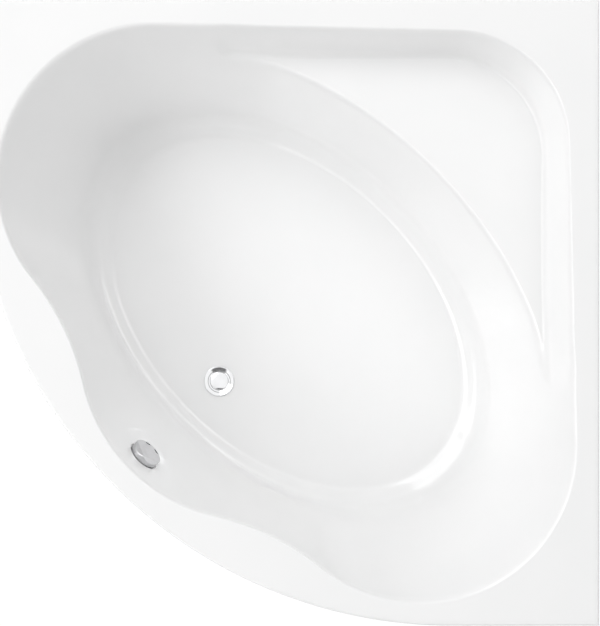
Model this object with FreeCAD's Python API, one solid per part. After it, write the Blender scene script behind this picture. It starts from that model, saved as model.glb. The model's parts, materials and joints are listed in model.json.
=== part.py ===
import FreeCAD, Part
import math
import os
from FreeCAD import Vector

# Symmetric corner bath, in millimetres. The room's two walls are at +X and +Y, the curved
# front looks towards -X -Y, +Z is up, and the room floor is z = 0 under the bath's centre.
# Most pieces are worked out along the diagonal that the bath is symmetric about: "along"
# runs from the front to the wall corner, and "across" runs from lobe to lobe.

# Outer form of the moulded shell
side = 1400.0                # length of each wall side
front_radius = 1070.0        # curved front, tangent to the two free sides
wall = 5.0                   # thickness of the acrylic shell
lip_depth = 38.0             # turned-down edge round the rim
basin_depth = 420.0          # rim to basin floor
underside = 155.0            # underside of the shell's floor above the room floor

# Basin edge at the rim: widths of the flat rim and radii of the edge's arcs
corner_rim = 70.0            # rim beside the wall corner
side_rim = 55.0              # rim beside the walls at the lobes
front_rim = 54.0             # rim in the middle of the front
corner_radius = 253.0
lobe_radius = 348.0
bulge_radius = 391.0         # middle of the front
valley_radius = 587.0        # reversed arc between the front bulge and a lobe

# Basin walls, corner shelf, step and floor. The ellipses are given by their distance from the
# basin's edge, at the middle of the front and at the tip of a lobe.
bowl_outside = (23.0, 22.0)  # bowl wall carried up to the rim plane
step_inside = (141.0, 232.0)  # upper edge of the step round the floor
floor_inside = (161.0, 272.0)
shelf_depth = 125.0
shelf_slope = 2.6            # steepness of the wall band over the shelf
shelf_fade = (56.0, 76.0)    # degrees from the axis over which the shelf runs out
step_height = 22.0
ledge_width = 14.0           # flat margin between the bowl wall and the step
rim_blend = 16.0             # how far two surfaces differ in depth where their blend ends
shelf_blend = 26.0
ridge_blend = 22.0
foot_blend = 44.0
step_blend = 8.0

# Grid of the moulded surface
columns = 64                 # over half the basin, from the wall corner to the front
edge_rows = 6
wall_rows = 36
step_rows = 12
edge_margin = 11.0           # start of the grid outside the basin edge
wall_margin = 14.0           # where the grid changes its spacing
turn = math.pi / columns

# Base board, support frame and levelling feet
board_thickness = 15.0
board_inside = (42.0, 56.0)  # board's edge inside the floor's
board_notch = 48.0           # half width of the opening round the waste
bar_size = 30.0
bar_wall = 2.0
bar_inside = 183.0           # cross bars' ends inside the tips of the lobes
front_bar_inside = 200.0     # cross bars inside the board's front and back edges
rear_bar_inside = 100.0
corner_bar_inside = 226.0    # corner bar's end inside the basin's edge at the wall corner
foot_inset = 22.0            # foot axis from the end of its bar
cap_thickness = 3.0
cap_depth = 12.0
screw_across = (-260.0, -90.0, 90.0, 260.0)
screw_length = 42.0
spindle_radius = 6.0
spindle_gap = 0.5            # spindle in the bar's drilled holes
spindle_top = 30.0           # spindle above the top of its bar
nut_height = 9.0
nut_width = 19.0             # across flats
thread_gap = 0.05            # running clearance of threads and shafts
pad_radius = 28.0
pad_height = 9.0
boss_radius = 12.0
boss_height = 20.0
socket_floor = 6.0
hex_width = 17.0
hex_height = 8.0
hex_gap = 1.0                # hexagon above the pad
pad_edge = 2.0
pad_slope = 3.0

# Fasteners
fastener_radius = 2.0
fastener_head = 4.5
fastener_head_height = 2.6
hole_gap = 0.1

# Timber blocks, posts and curved front panel
block_depth = 28.0
block_width = 60.0
block_height = 18.0
post_size = 20.0
post_wall = 2.0
post_shares = (-1.4, -0.5, 0.5, 1.4)  # posts' directions, as shares of the valley's direction
post_tab = 3.0
post_bottom = 40.0
tab_inset = 4.0
tab_screw = 16.0
tab_screw_spread = 19.0
panel_gap = 0.5
panel_thickness = 3.5
panel_bottom = 22.0
panel_return = 16.0
panel_screw = 12.0
panel_screw_height = 62.0

# Wall fittings
hanger_places = (-260.0, 330.0)
hanger_width = 40.0
hanger_height = 62.0
hanger_plate = 3.0
hanger_reach = 19.0
hanger_tab = 14.0
wall_hole_radius = 3.5
wall_hole_drop = 42.0        # hole below the lip's edge
angle_size = 26.0
angle_height = 420.0
angle_thickness = 2.0
angle_bottom = 60.0
angle_holes = (80.0, 340.0)
angle_hole_place = 16.0

# Waste: flange, plug, body and lifting lever
waste_inside = 101.0         # waste's centre inside the floor's front edge
waste_hole = 26.0
flange_radius = 36.0
flange_edge = 2.0
flange_lip = 1.2
flange_throat = 19.5
flange_seat_drop = 2.5       # throat's edge below the basin floor
flange_land = 4.5
flange_tube = 25.5
flange_wall = 3.0
flange_length = 26.0
seal_thickness = 1.0
seal_inset = 1.5             # seals inside the flanges they sit under
under_seal = 3.0
body_flange_radius = 36.0
body_flange = 4.0
body_radius = 33.0
body_wall = 3.0
body_depth = 50.0
collar_overhang = 2.0        # body's collar below the flange's tube
plug_radius = 21.5
plug_height = 4.5
plug_edge = 1.5
plug_seal_thickness = 1.9
plug_seal_width = 4.5
plug_seal_overlap = 1.0      # seal over the throat's edge
stem_radius = 3.0
stem_length = 42.0
cross_radius = 6.0           # hub of the cross that guides the stem
cross_height = 5.0
cross_gap = 0.2
spoke_width = 3.0
plug_lift = 12.0
lever_reach = 24.0
lever_radius = 3.0
lever_width = 3.0
lever_gap = 0.3
lever_shaft = 2.5
lever_boss = 6.0
lever_hub = 5.0
lever_arm = 1.8              # half the arm's thickness, thinner than its nose
boss_reach = 27.0
crank_length = 16.0
crank_width = 6.0

# Trap and outlet
dip_radius = 19.0
dip_wall = 2.0
dip_depth = 8.0              # end of the dip tube below the trap's lid
trap_radius = 44.0
trap_wall = 3.0
trap_drop = 16.0             # trap below the waste body
trap_lid_height = 58.0
cup_depth = 12.0
cup_overlap = 9.0
cup_taper = 6.0
union_height = 15.0
union_wall = 5.0
rib_radius = 1.5
rib_count = 12
outlet_radius = 20.0
outlet_wall = 3.0
outlet_step = 1.0            # pipe's seated end is this much slimmer
outlet_free = 165.0          # length of the pipe's full width
outlet_clear = 2.0           # full width starts this far beyond the stub
outlet_drop = 25.0
outlet_stub = 23.0
outlet_turn = 15.0           # degrees that the outlet points away from the corner's foot
outlet_nut_gap = 4.0

# Overflow in the middle of the front wall
overflow_depth = 97.0
overflow_tilt = 22.0
overflow_hole = 24.0
seat_radius = 38.0           # flat round seat that the knob turns in
seat_sink = 3.0              # middle of the seat below the wall's surface
seat_thickness = 12.0
gasket_radius = 33.0
overflow_seal_thickness = 3.0
elbow_radius = 27.0
elbow_wall = 3.0
elbow_depth = 30.0
elbow_flange = 4.0
bush_radius = 7.0
bush_height = 10.0
lug_radius = 4.5
lug_place = 19.0
lug_screw = 15.0
lug_gap = 1.0                # lugs short of the elbow's flange, screws short of their holes
small_head = 3.5
small_head_height = 1.6
ring_radius = 31.0
ring_inner = 21.0
ring_thickness = 3.0
bridge_width = 12.0
knob_radius = 35.0
knob_gap = 0.6
knob_height = 19.0
knob_wall = 2.5
knob_face = 8.0
knob_edge = 1.5
knob_bevel = 30.0            # slope of the finger bevels
knob_ridge = 48.0            # half angle between the bevels' edges
knob_ridge_start = 33.0
knob_slot_length = 13.0
knob_slot_width = 4.0
knob_slot_place = 27.0
knob_slot_turn = 26.0
shaft_radius = 4.0
shaft_end_gap = 0.3
drum_radius = 12.0
drum_height = 7.0
drum_gap = 0.5

# Overflow hose and control cable
hose_radius = 16.0
hose_wall = 2.0
hose_bend = 95.0
hose_behind = 27.0           # hose's axis behind the middle of the overflow's seat
spigot_gap = 0.05
spigot_length = 20.0
hose_end_gap = 1.0
inlet_height = 118.0
cable_radius = 3.0
cable_across = 38.0
cable_port_size = 14.0
cable_port_drop = 15.0
cable_port_height = 16.0
cable_port_root = 6.0        # port's start inside the elbow
cable_stop_place = 26.0      # sheath's end in front of the lever's shaft
cable_stop_wall = 5.0
cable_stop_height = 14.0
cable_stop_inset = 9.0       # stop's arm inside the waste body's outline
cable_stop_root = 12.0
cable_wire_hole = 1.0
clip_heights = (270.0, 390.0)
clip_height = 10.0
clip_wall = 2.5
clip_web = 4.0
hose_clip_width = 9.0

# Values that follow
half = side / 2
root2 = math.sqrt(2)
rim_top = underside + wall + basin_depth
floor_top = underside + wall
ledge_depth = basin_depth - step_height
front_centre = root2 * (front_radius - half)
front_apex = front_centre - front_radius
front_reach = -front_apex - front_rim
bulge_centre = Vector(front_apex + front_rim + bulge_radius, 0, 0)
lobe_centre = Vector(0, root2 * (half - side_rim - lobe_radius), 0)
corner_centre = Vector(root2 * (half - corner_rim - corner_radius), 0, 0)
lobe_reach = lobe_centre.y + lobe_radius
bowl_along = front_reach + bowl_outside[0]
bowl_across = lobe_reach + bowl_outside[1]
step_along = front_reach - step_inside[0]
step_across = lobe_reach - step_inside[1]
floor_along = front_reach - floor_inside[0]
floor_across = lobe_reach - floor_inside[1]
board_along = floor_along - board_inside[0]
board_across = floor_across - board_inside[1]
bar_length = 2 * (lobe_reach - bar_inside)
front_bar = front_bar_inside - board_along
rear_bar = board_along - rear_bar_inside
corner_bar_end = corner_centre.x + corner_radius - corner_bar_inside
waste_along = waste_inside - floor_along
bar_top = underside - board_thickness
bar_bottom = bar_top - bar_size
up = Vector(0, 0, 1)
along = Vector(1, 0, 0)
across = Vector(0, 1, 0)
block_bottom = rim_top - wall - block_height
panel_inner = front_radius - wall - panel_gap - panel_thickness
flange_seat = floor_top - flange_seat_drop
plug_base = flange_seat + flange_seat_drop
body_top = underside - under_seal
body_bottom = body_top - body_depth
nose_height = plug_base - stem_length - lever_gap - lever_radius
lift_angle = math.asin(plug_lift / 2 / lever_reach)
lever_pivot = Vector(waste_along - lever_reach * math.cos(lift_angle), 0, nose_height + plug_lift / 2)
cable_level = lever_pivot.z + crank_length
cable_end = lever_pivot.x - cable_stop_place
trap_top = body_bottom - trap_drop
trap_low = trap_top - trap_lid_height
overflow_axis = Vector(math.cos(math.radians(overflow_tilt)), 0, math.sin(math.radians(overflow_tilt)))
elbow_top = -seat_thickness - overflow_seal_thickness
elbow_bottom = elbow_top - elbow_depth
spigot_reach = elbow_radius + spigot_length
spigot_radius = hose_radius - hose_wall - spigot_gap
knob_base = ring_thickness + knob_gap
knob_top = knob_base + knob_height


def tangent_outside(first, first_radius, second, second_radius, radius):
    """Centre of the arc that touches two circles from the outer side."""
    line = second - first
    reach = first_radius + radius
    along_line = (reach ** 2 - (second_radius + radius) ** 2 + line.Length ** 2) / (2 * line.Length)
    away = math.sqrt(reach ** 2 - along_line ** 2)
    forward = Vector(line).normalize()
    return first + forward * along_line + Vector(-forward.y, forward.x, 0) * away


valley_centre = tangent_outside(bulge_centre, bulge_radius, lobe_centre, lobe_radius, valley_radius)
valley_direction = math.degrees(math.atan2(valley_centre.y, front_centre - valley_centre.x))
post_angles = [share * valley_direction for share in post_shares]
edge_angle = math.acos((lobe_radius - corner_radius) / math.hypot(corner_centre.x, lobe_centre.y))
edge_angle -= math.atan2(lobe_centre.y, corner_centre.x)
edge_normal = Vector(math.cos(edge_angle), math.sin(edge_angle), 0)


def polar(point):
    return math.atan2(point.y, point.x)


corner_end = polar(corner_centre + edge_normal * corner_radius)
edge_end = polar(lobe_centre + edge_normal * lobe_radius)
lobe_end = polar(lobe_centre + (valley_centre - lobe_centre).normalize() * lobe_radius)
valley_end = polar(bulge_centre + (valley_centre - bulge_centre).normalize() * bulge_radius)


def ray_to_circle(angle, centre, radius, side_sign):
    """Distance from the middle to a circle along a ray: the far (+1) or the near (-1) crossing."""
    ray = Vector(math.cos(angle), math.sin(angle), 0)
    reach = centre.dot(ray)
    return reach + side_sign * math.sqrt(radius ** 2 - centre.dot(centre) + reach ** 2)


def rim_radius(angle):
    """Basin edge: corner arc, straight side, lobe arc, valley arc and front bulge."""
    if angle < corner_end:
        return ray_to_circle(angle, corner_centre, corner_radius, 1)
    if angle < edge_end:
        return (lobe_centre.dot(edge_normal) + lobe_radius) / math.cos(angle - edge_angle)
    if angle < lobe_end:
        return ray_to_circle(angle, lobe_centre, lobe_radius, 1)
    if angle < valley_end:
        return ray_to_circle(angle, valley_centre, valley_radius, -1)
    return ray_to_circle(angle, bulge_centre, bulge_radius, 1)


def ellipse_radius(angle, half_along, half_across):
    return 1 / math.hypot(math.cos(angle) / half_along, math.sin(angle) / half_across)


def smooth_min(first, second, blend):
    """The lesser of two depths, with a fillet where they are within the blend."""
    near = max(blend - abs(first - second), 0) / blend
    return min(first, second) - near * near * blend / 4


def smooth_max(first, second, blend):
    return -smooth_min(-first, -second, blend)


def shelf_share(angle):
    """1 at the corner shelf, running out smoothly to 0 towards the lobes."""
    start, end = shelf_fade
    share = (math.degrees(angle) - start) / (end - start)
    share = min(max(share, 0), 1)
    return 1 - share * share * (3 - 2 * share)


def fold(angle):
    """The bath is symmetric, so every direction is read on one side of the diagonal."""
    angle = abs(angle)
    return min(angle, 2 * math.pi - angle)


def bowl_foot(angle):
    return ellipse_radius(angle, step_along + ledge_width, step_across + ledge_width)


# The flat seat of the overflow, sunk into the front wall on the axis
front_wall_run = rim_radius(math.pi) - bowl_foot(math.pi)
front_wall_lean = math.degrees(math.atan2(front_wall_run, ledge_depth))
overflow_wall = Vector(front_wall_run * overflow_depth / ledge_depth - rim_radius(math.pi), 0,
                       rim_top - overflow_depth)
overflow_seat = overflow_wall - overflow_axis * seat_sink
elbow_height = (overflow_seat + overflow_axis * (elbow_top - elbow_depth / 2)).z
hose_along = overflow_seat.x - hose_behind
spigot_low = Vector(hose_along, 0, elbow_height - spigot_reach)
cable_top = elbow_height - cable_port_drop


def basin_at(angle, radius):
    """Depth under the rim: bowl wall, corner shelf, ledge, step and floor, blended."""
    rim = rim_radius(angle)
    mouth = smooth_min(rim, ellipse_radius(angle, bowl_along, bowl_across), ridge_blend)
    foot = bowl_foot(angle)
    bowl = ledge_depth * (mouth - radius) / (mouth - foot)
    bowl = smooth_min(bowl, ledge_depth, foot_blend)
    shelf = smooth_min(shelf_slope * (rim - radius), shelf_depth, shelf_blend)
    shelf -= 2 * shelf_depth * (1 - shelf_share(angle))
    hollow = smooth_max(bowl, shelf, ridge_blend)
    step = ellipse_radius(angle, step_along, step_across)
    floor = ellipse_radius(angle, floor_along, floor_across)
    riser = step_height * (step - radius) / (step - floor)
    riser = smooth_min(smooth_max(riser, 0, step_blend), step_height, step_blend)
    return smooth_max(hollow, 0, rim_blend) + riser


def row_radius(angle, row):
    """Grid rows: close together at the edge and the step, wider on the wall."""
    rim = rim_radius(angle)
    foot = bowl_foot(angle)
    step = ellipse_radius(angle, step_along, step_across)
    floor = ellipse_radius(angle, floor_along, floor_across)
    last = floor - step_blend * (step - floor) / step_height
    stops = (rim + edge_margin, rim - wall_margin, foot + wall_margin, last)
    for start, end, count in zip(stops, stops[1:], (edge_rows, wall_rows, step_rows)):
        if row <= count:
            return start + (end - start) * row / count
        row -= count
    return last


def skin_point(angle, row, sink):
    """A grid point of the basin, moved below its surface by the given distance."""
    radius = row_radius(angle, row)
    small = 1e-4
    down_out = basin_at(angle, radius + small) - basin_at(angle, radius - small)
    down_round = basin_at(fold(angle + small), radius) - basin_at(fold(angle - small), radius)
    outward = Vector(math.cos(angle), math.sin(angle), 0)
    onward = Vector(-outward.y, outward.x, 0)
    normal = outward * down_out / (2 * small) + onward * down_round / (2 * small * radius) + up
    point = outward * radius - normal.normalize() * sink
    return point + up * (rim_top - basin_at(angle, radius))


def even_knots(point_count):
    """Multiplicities and knots of an evenly spaced cubic that ends on its outer control points."""
    spans = point_count - 3
    return [4] + [1] * (spans - 1) + [4], list(range(spans + 1))


def column_angles():
    """Directions of the control columns, drawn together at the plane of symmetry."""
    steps = [0, 1 / 3] + list(range(1, columns)) + [columns - 1 / 3, columns]
    return [turn * step for step in steps]


def skin(sink):
    """Both halves of the basin's surface, each one smooth face over a grid of control points."""
    row_count = edge_rows + wall_rows + step_rows + 1
    grid = [[skin_point(angle, row, sink) for row in range(row_count)] for angle in column_angles()]
    column_counts, column_knots = even_knots(len(grid))
    row_counts, row_knots = even_knots(row_count)
    surface = Part.BSplineSurface()
    surface.buildFromPolesMultsKnots(grid, column_counts, row_counts, column_knots, row_knots,
                                     False, False, 3, 3)
    face = surface.toShape()
    return [face, face.mirror(Vector(), Vector(0, 1, 0))]


def level_edges(faces, height):
    """The faces' boundary edges that lie flat at a height."""
    found = []
    for face in faces:
        for edge in face.Edges:
            box = edge.BoundBox
            if abs(box.ZMin - height) < 0.01 and abs(box.ZMax - height) < 0.01:
                found.append(edge)
    return found


def to_room(shape):
    """Turns a piece from the diagonal's directions to the walls' directions."""
    turned = shape.copy()
    turned.rotate(Vector(), up, 45)
    return turned


def outline(inset, height):
    """The bath's plan, moved in by a distance: four straight sides and the curved front."""
    edge = half - inset
    centre = front_radius - half
    middle = centre - (front_radius - inset) / root2
    points = [(centre, -edge), (edge, -edge), (edge, edge), (-edge, edge), (-edge, centre)]
    corners = [Vector(x, y, height) for x, y in points]
    lines = [Part.makeLine(a, b) for a, b in zip(corners, corners[1:])]
    front = Part.Arc(corners[-1], Vector(middle, middle, height), corners[0])
    return Part.Wire(lines + [front.toShape()])


def flat_face(*wires):
    return Part.makeFace(list(wires), "Part::FaceMakerBullseye")


def overflow_pad():
    """Thickening behind the front wall for the overflow's seat; it stays behind the wall's surface."""
    pad = rod(up * -seat_thickness, seat_radius + wall, 2 * seat_thickness)
    basin_side = block(Vector(-side, -side, 0), Vector(side, side, side))
    basin_side.rotate(Vector(), across, overflow_tilt - front_wall_lean)
    basin_side.translate(up * (seat_sink - wall / 2))
    return on_overflow(pad.cut(basin_side))


def tub_shell():
    """The moulded acrylic shell: rim, turned-down lip, basin, and holes for the fittings."""
    inner = [to_room(face) for face in skin(0)]
    outer = [to_room(face) for face in skin(wall)]
    faces = inner + outer
    for skin_faces, drop in ((inner, 0), (outer, wall)):
        mouth = Part.Wire(Part.sortEdges(level_edges(skin_faces, rim_top - drop))[0])
        faces.append(flat_face(outline(drop, rim_top - drop), mouth))
        floor = Part.Wire(Part.sortEdges(level_edges(skin_faces, floor_top - drop))[0])
        faces.append(flat_face(floor))
        lip = outline(drop, rim_top - lip_depth)
        faces.extend(lip.extrude(up * (lip_depth - drop)).Faces)
    faces.append(flat_face(outline(0, rim_top - lip_depth), outline(wall, rim_top - lip_depth)))
    sewn = Part.Compound(faces)
    sewn.sewShape(0.01)
    shell = Part.Solid(sewn.Shells[0])
    shell = shell.fuse(to_room(overflow_pad()))
    openings = [on_overflow(rod(Vector(), seat_radius, seat_radius)),
                on_overflow(rod(up * -2 * seat_thickness, overflow_hole, 3 * seat_thickness)),
                rod(waste_centre(underside - wall), waste_hole, 3 * wall)]
    return shell.cut([to_room(opening) for opening in openings])


def block(low, high):
    size = high - low
    return Part.makeBox(size.x, size.y, size.z, low)


def rod(base, radius, length, direction=up):
    return Part.makeCylinder(radius, length, base, direction)


def tube(base, outer, inner, length, direction=up):
    return rod(base, outer, length, direction).cut(rod(base, inner, length, direction))


def spun(points, base=Vector()):
    """A solid turned about an upright axis from a closed outline of (radius, height) points."""
    corners = [base + Vector(radius, 0, height) for radius, height in points]
    profile = Part.Face(Part.makePolygon(corners + corners[:1]))
    solid = profile.revolve(base, up, 360)
    return solid if solid.Volume > 0 else solid.reversed()


def hexagon(base, across_flats, height):
    radius = across_flats / math.sqrt(3)
    corners = [base + Vector(math.cos(k * math.pi / 3), math.sin(k * math.pi / 3), 0) * radius
               for k in range(7)]
    return Part.Face(Part.makePolygon(corners)).extrude(up * height)


def joined(first, *others):
    return first.fuse(list(others)).removeSplitter()


# ---- base board and frame

def waste_centre(height):
    return Vector(waste_along, 0, height)


def screw_places():
    """Screws that hold the bars up against the base board."""
    return [Vector(bar, across, bar_bottom) for bar in (front_bar, rear_bar) for across in screw_across]


def base_board():
    """Moulded-in board that stiffens the floor, open towards the front round the waste."""
    low = bar_top
    rim = Part.Ellipse(Vector(0, board_across, low), Vector(board_along, 0, low), Vector(0, 0, low))
    board = Part.Face(Part.Wire(rim.toShape())).extrude(up * board_thickness)
    reach = board_along + waste_along
    notch = block(Vector(waste_along - reach, -board_notch, low),
                  Vector(waste_along, board_notch, underside))
    board = board.cut(notch).cut(rod(waste_centre(low), board_notch, board_thickness))
    for place in screw_places():
        depth = screw_length - bar_size
        board = board.cut(rod(Vector(place.x, place.y, low), fastener_radius + hole_gap, depth))
    return board


def foot_places():
    """Foot axes: four at the ends of the cross bars and one under the wall corner."""
    reach = bar_length / 2 - foot_inset
    places = [Vector(bar, end * reach, 0) for bar in (front_bar, rear_bar) for end in (-1, 1)]
    return places + [Vector(corner_bar_end - foot_inset, 0, 0)]


def cross_bar(place_along):
    """A square steel tube with holes for its two spindles and its screws."""
    size = Vector(bar_size / 2, bar_length / 2, 0)
    inset = Vector(bar_wall, 0, bar_wall)
    low = Vector(place_along, 0, bar_bottom) - size
    high = Vector(place_along, 0, bar_top) + size
    bar = block(low, high).cut(block(low + inset, high - inset))
    for place in foot_places():
        bar = bar.cut(rod(place + up * bar_bottom, spindle_radius + spindle_gap, bar_size))
    for place in screw_places():
        bar = bar.cut(rod(place, fastener_radius + hole_gap, bar_size))
    return bar


def corner_bar():
    """The tube from the rear bar to the foot under the wall corner."""
    side_step = Vector(0, bar_size / 2, 0)
    inset = Vector(0, bar_wall, bar_wall)
    low = Vector(rear_bar + bar_size / 2, 0, bar_bottom) - side_step
    high = Vector(corner_bar_end, 0, bar_top) + side_step
    bar = block(low, high).cut(block(low + inset, high - inset))
    return bar.cut(rod(foot_places()[-1] + up * bar_bottom, spindle_radius + spindle_gap, bar_size))


def end_cap(end, direction):
    """Plastic plug in a bar's open end."""
    inside = bar_size - 2 * bar_wall
    cap = block(Vector(0, -bar_size / 2, 0), Vector(cap_thickness, bar_size / 2, bar_size))
    plug = block(Vector(-cap_depth, -inside / 2, bar_wall), Vector(0, inside / 2, bar_size - bar_wall))
    cap = joined(cap, plug)
    cap.rotate(Vector(), up, direction)
    cap.translate(end)
    return cap


def end_caps():
    half_bar = bar_length / 2
    caps = [end_cap(Vector(bar, end * half_bar, bar_bottom), end * 90)
            for bar in (front_bar, rear_bar) for end in (-1, 1)]
    return Part.Compound(caps + [end_cap(Vector(corner_bar_end, 0, bar_bottom), 0)])


def screw(tip, length, direction):
    """A pan-head screw: its tip, its length under the head, and the way it points."""
    back = tip - direction * length
    shank = rod(back, fastener_radius, length, direction)
    return joined(shank, rod(back, fastener_head, fastener_head_height, direction * -1))


def frame_screws():
    return Part.Compound([screw(place + up * screw_length, screw_length, up) for place in screw_places()])


def nuts(level):
    """One nut on each spindle, with its running clearance."""
    group = []
    for place in foot_places():
        nut = hexagon(place + up * level, nut_width, nut_height)
        group.append(nut.cut(rod(place + up * level, spindle_radius + thread_gap, nut_height)))
    return Part.Compound(group)


def spindle(place):
    """Threaded spindle with a hexagon for the spanner."""
    shaft = rod(place + up * socket_floor, spindle_radius, bar_top + spindle_top - socket_floor)
    collar = hexagon(place + up * (pad_height + boss_height + hex_gap), hex_width, hex_height)
    return joined(shaft, collar)


def pad(place):
    """Plastic foot with a socket for the spindle."""
    top = pad_height + boss_height
    socket = spindle_radius + thread_gap
    return spun([(0, 0), (pad_radius - pad_edge, 0), (pad_radius, pad_edge),
                 (pad_radius, pad_height - pad_slope), (boss_radius + pad_slope, pad_height),
                 (boss_radius, pad_height + pad_slope), (boss_radius, top), (socket, top),
                 (socket, socket_floor), (0, socket_floor)], place)


# ---- front posts and panel

def on_front(shape, angle):
    """Moves a piece made on the +X side of the front arc's centre to its place on the front."""
    moved = shape.copy()
    moved.rotate(Vector(), up, 180 + angle)
    moved.translate(Vector(front_centre, 0, 0))
    return moved


def behind_panel(width):
    """Distance from the front arc's centre at which a flat piece of this width meets the panel."""
    return math.sqrt(panel_inner ** 2 - (width / 2) ** 2)


def rim_block(angle):
    """Timber block bonded under the rim."""
    face = behind_panel(block_width)
    low = Vector(face - block_depth, -block_width / 2, block_bottom)
    timber = block(low, Vector(face, block_width / 2, block_bottom + block_height))
    for place in tab_screw_places():
        timber = timber.cut(rod(place + up * post_tab, fastener_radius + hole_gap, tab_screw - post_tab))
    return on_front(timber, angle)


def tab_screw_places():
    middle = behind_panel(block_width) - block_depth / 2
    return [Vector(middle, end * tab_screw_spread, block_bottom - post_tab) for end in (-1, 1)]


def panel_post(angle):
    """Square tube hung from a rim block by a welded tab; the panel is screwed to its foot."""
    face = behind_panel(block_width)
    tab_half = block_width / 2 - tab_inset
    low = Vector(face - post_size, -post_size / 2, post_bottom)
    high = Vector(face, post_size / 2, block_bottom - post_tab)
    inset = Vector(post_wall, post_wall, 0)
    post = block(low, high).cut(block(low + inset, high - inset))
    tab = block(Vector(face - block_depth, -tab_half, block_bottom - post_tab),
                Vector(face, tab_half, block_bottom))
    for place in tab_screw_places():
        tab = tab.cut(rod(place, fastener_radius + hole_gap, post_tab))
    post = joined(post, tab)
    hole = Vector(face - post_wall, 0, panel_screw_height)
    return on_front(post.cut(rod(hole, fastener_radius + hole_gap, post_wall, along)), angle)


def tab_screws():
    group = []
    for angle in post_angles:
        for place in tab_screw_places():
            group.append(on_front(screw(place + up * tab_screw, tab_screw, up), angle))
    return Part.Compound(group)


def panel_screws():
    tip = Vector(panel_inner + panel_thickness - panel_screw, 0, panel_screw_height)
    one = screw(tip, panel_screw, along * -1)
    return Part.Compound([on_front(one, angle) for angle in post_angles])


def panel_strip(outer, inner, low, height):
    """A strip that follows the two free sides and the curved front between two insets."""
    centre = front_radius - half
    end = half - wall - panel_gap
    edges = []
    for inset in (outer, inner):
        edge = half - inset
        middle = centre - (front_radius - inset) / root2
        places = [(end, -edge), (centre, -edge), (middle, middle), (-edge, centre), (-edge, end)]
        a, b, c, d, e = [Vector(x, y, low) for x, y in places]
        edges.append([Part.makeLine(a, b), Part.Arc(b, c, d).toShape(), Part.makeLine(d, e), a, e])
    closing = [Part.makeLine(edges[0][k], edges[1][k]) for k in (3, 4)]
    wire = Part.Wire(Part.sortEdges(edges[0][:3] + edges[1][:3] + closing)[0])
    return Part.Face(wire).extrude(up * height)


def front_panel():
    """Curved acrylic front, tucked up behind the lip, with a stiffening return at its foot."""
    outer = wall + panel_gap
    inner = outer + panel_thickness
    top = rim_top - wall - panel_gap
    sheet = panel_strip(outer, inner, panel_bottom, top - panel_bottom)
    foot = panel_strip(outer, inner + panel_return, panel_bottom, panel_thickness)
    panel = joined(sheet, foot)
    for angle in post_angles:
        hole = Vector(panel_inner - panel_thickness, 0, panel_screw_height)
        bore = rod(hole, fastener_radius + hole_gap, 3 * panel_thickness, along)
        panel = panel.cut(to_room(on_front(bore, angle)))
    return panel


def swap_sides(shape):
    """The same piece on the other side of the bath's plane of symmetry."""
    return shape.mirror(Vector(), Vector(1, -1, 0))


def panel_angle():
    """Metal angle screwed to the wall at +X, behind the panel's end."""
    face = -(half - wall - panel_gap - panel_thickness)
    low = Vector(half - angle_size, face, angle_bottom)
    leg = block(low, Vector(half, face + angle_thickness, angle_bottom + angle_height))
    back = block(Vector(half - angle_thickness, face, angle_bottom),
                 Vector(half, face + angle_size, angle_bottom + angle_height))
    bracket = joined(leg, back)
    for height in angle_holes:
        hole = Vector(half - angle_thickness, face + angle_hole_place, angle_bottom + height)
        bracket = bracket.cut(rod(hole, wall_hole_radius, angle_thickness, along))
    return bracket


def wall_hanger(place):
    """Steel hook screwed to the wall at +X; the lip rests in it."""
    lip_edge = rim_top - lip_depth
    low, high = place - hanger_width / 2, place + hanger_width / 2
    plate = block(Vector(half - hanger_plate, low, lip_edge - hanger_height), Vector(half, high, lip_edge))
    ledge = block(Vector(half - hanger_reach, low, lip_edge - hanger_plate), Vector(half, high, lip_edge))
    tab = block(Vector(half - hanger_reach, low, lip_edge),
                Vector(half - hanger_reach + hanger_plate, high, lip_edge + hanger_tab))
    hook = joined(plate, ledge, tab)
    hole = Vector(half - hanger_plate, place, lip_edge - wall_hole_drop)
    return hook.cut(rod(hole, wall_hole_radius, hanger_plate, along))


def wall_hangers():
    right = [wall_hanger(place) for place in hanger_places]
    return Part.Compound(right + [swap_sides(hook) for hook in right])


# ---- waste

def waste_flange():
    """Dished metal flange with its threaded tube."""
    top = floor_top + seal_thickness + flange_edge
    base = floor_top + seal_thickness
    ledge = flange_seat - flange_land
    tail = base - flange_length
    bore = flange_tube - flange_wall
    return spun([(flange_throat, flange_seat), (flange_radius - flange_edge, top),
                 (flange_radius - flange_lip, top), (flange_radius, top - flange_lip),
                 (flange_radius, base), (flange_tube, base), (flange_tube, tail), (bore, tail),
                 (bore, ledge), (flange_throat, ledge)], waste_centre(0))


def waste_cross():
    """Cross that guides the plug's stem, seated under the flange's ledge."""
    top = flange_seat - flange_land
    base = top - cross_height
    reach = flange_tube - flange_wall - cross_gap
    pieces = []
    for end in (0, 90):
        spoke = block(Vector(-reach, -spoke_width / 2, base), Vector(reach, spoke_width / 2, top))
        spoke.rotate(Vector(), up, end)
        spoke.translate(waste_centre(0))
        pieces.append(spoke)
    cross = joined(rod(waste_centre(base), cross_radius, cross_height), *pieces)
    return cross.cut(rod(waste_centre(base), stem_radius + thread_gap, cross_height))


def flange_seal():
    return tube(waste_centre(floor_top), flange_radius - seal_inset, waste_hole, seal_thickness)


def body_seal():
    return tube(waste_centre(body_top), body_flange_radius - seal_inset, waste_hole, under_seal)


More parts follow.
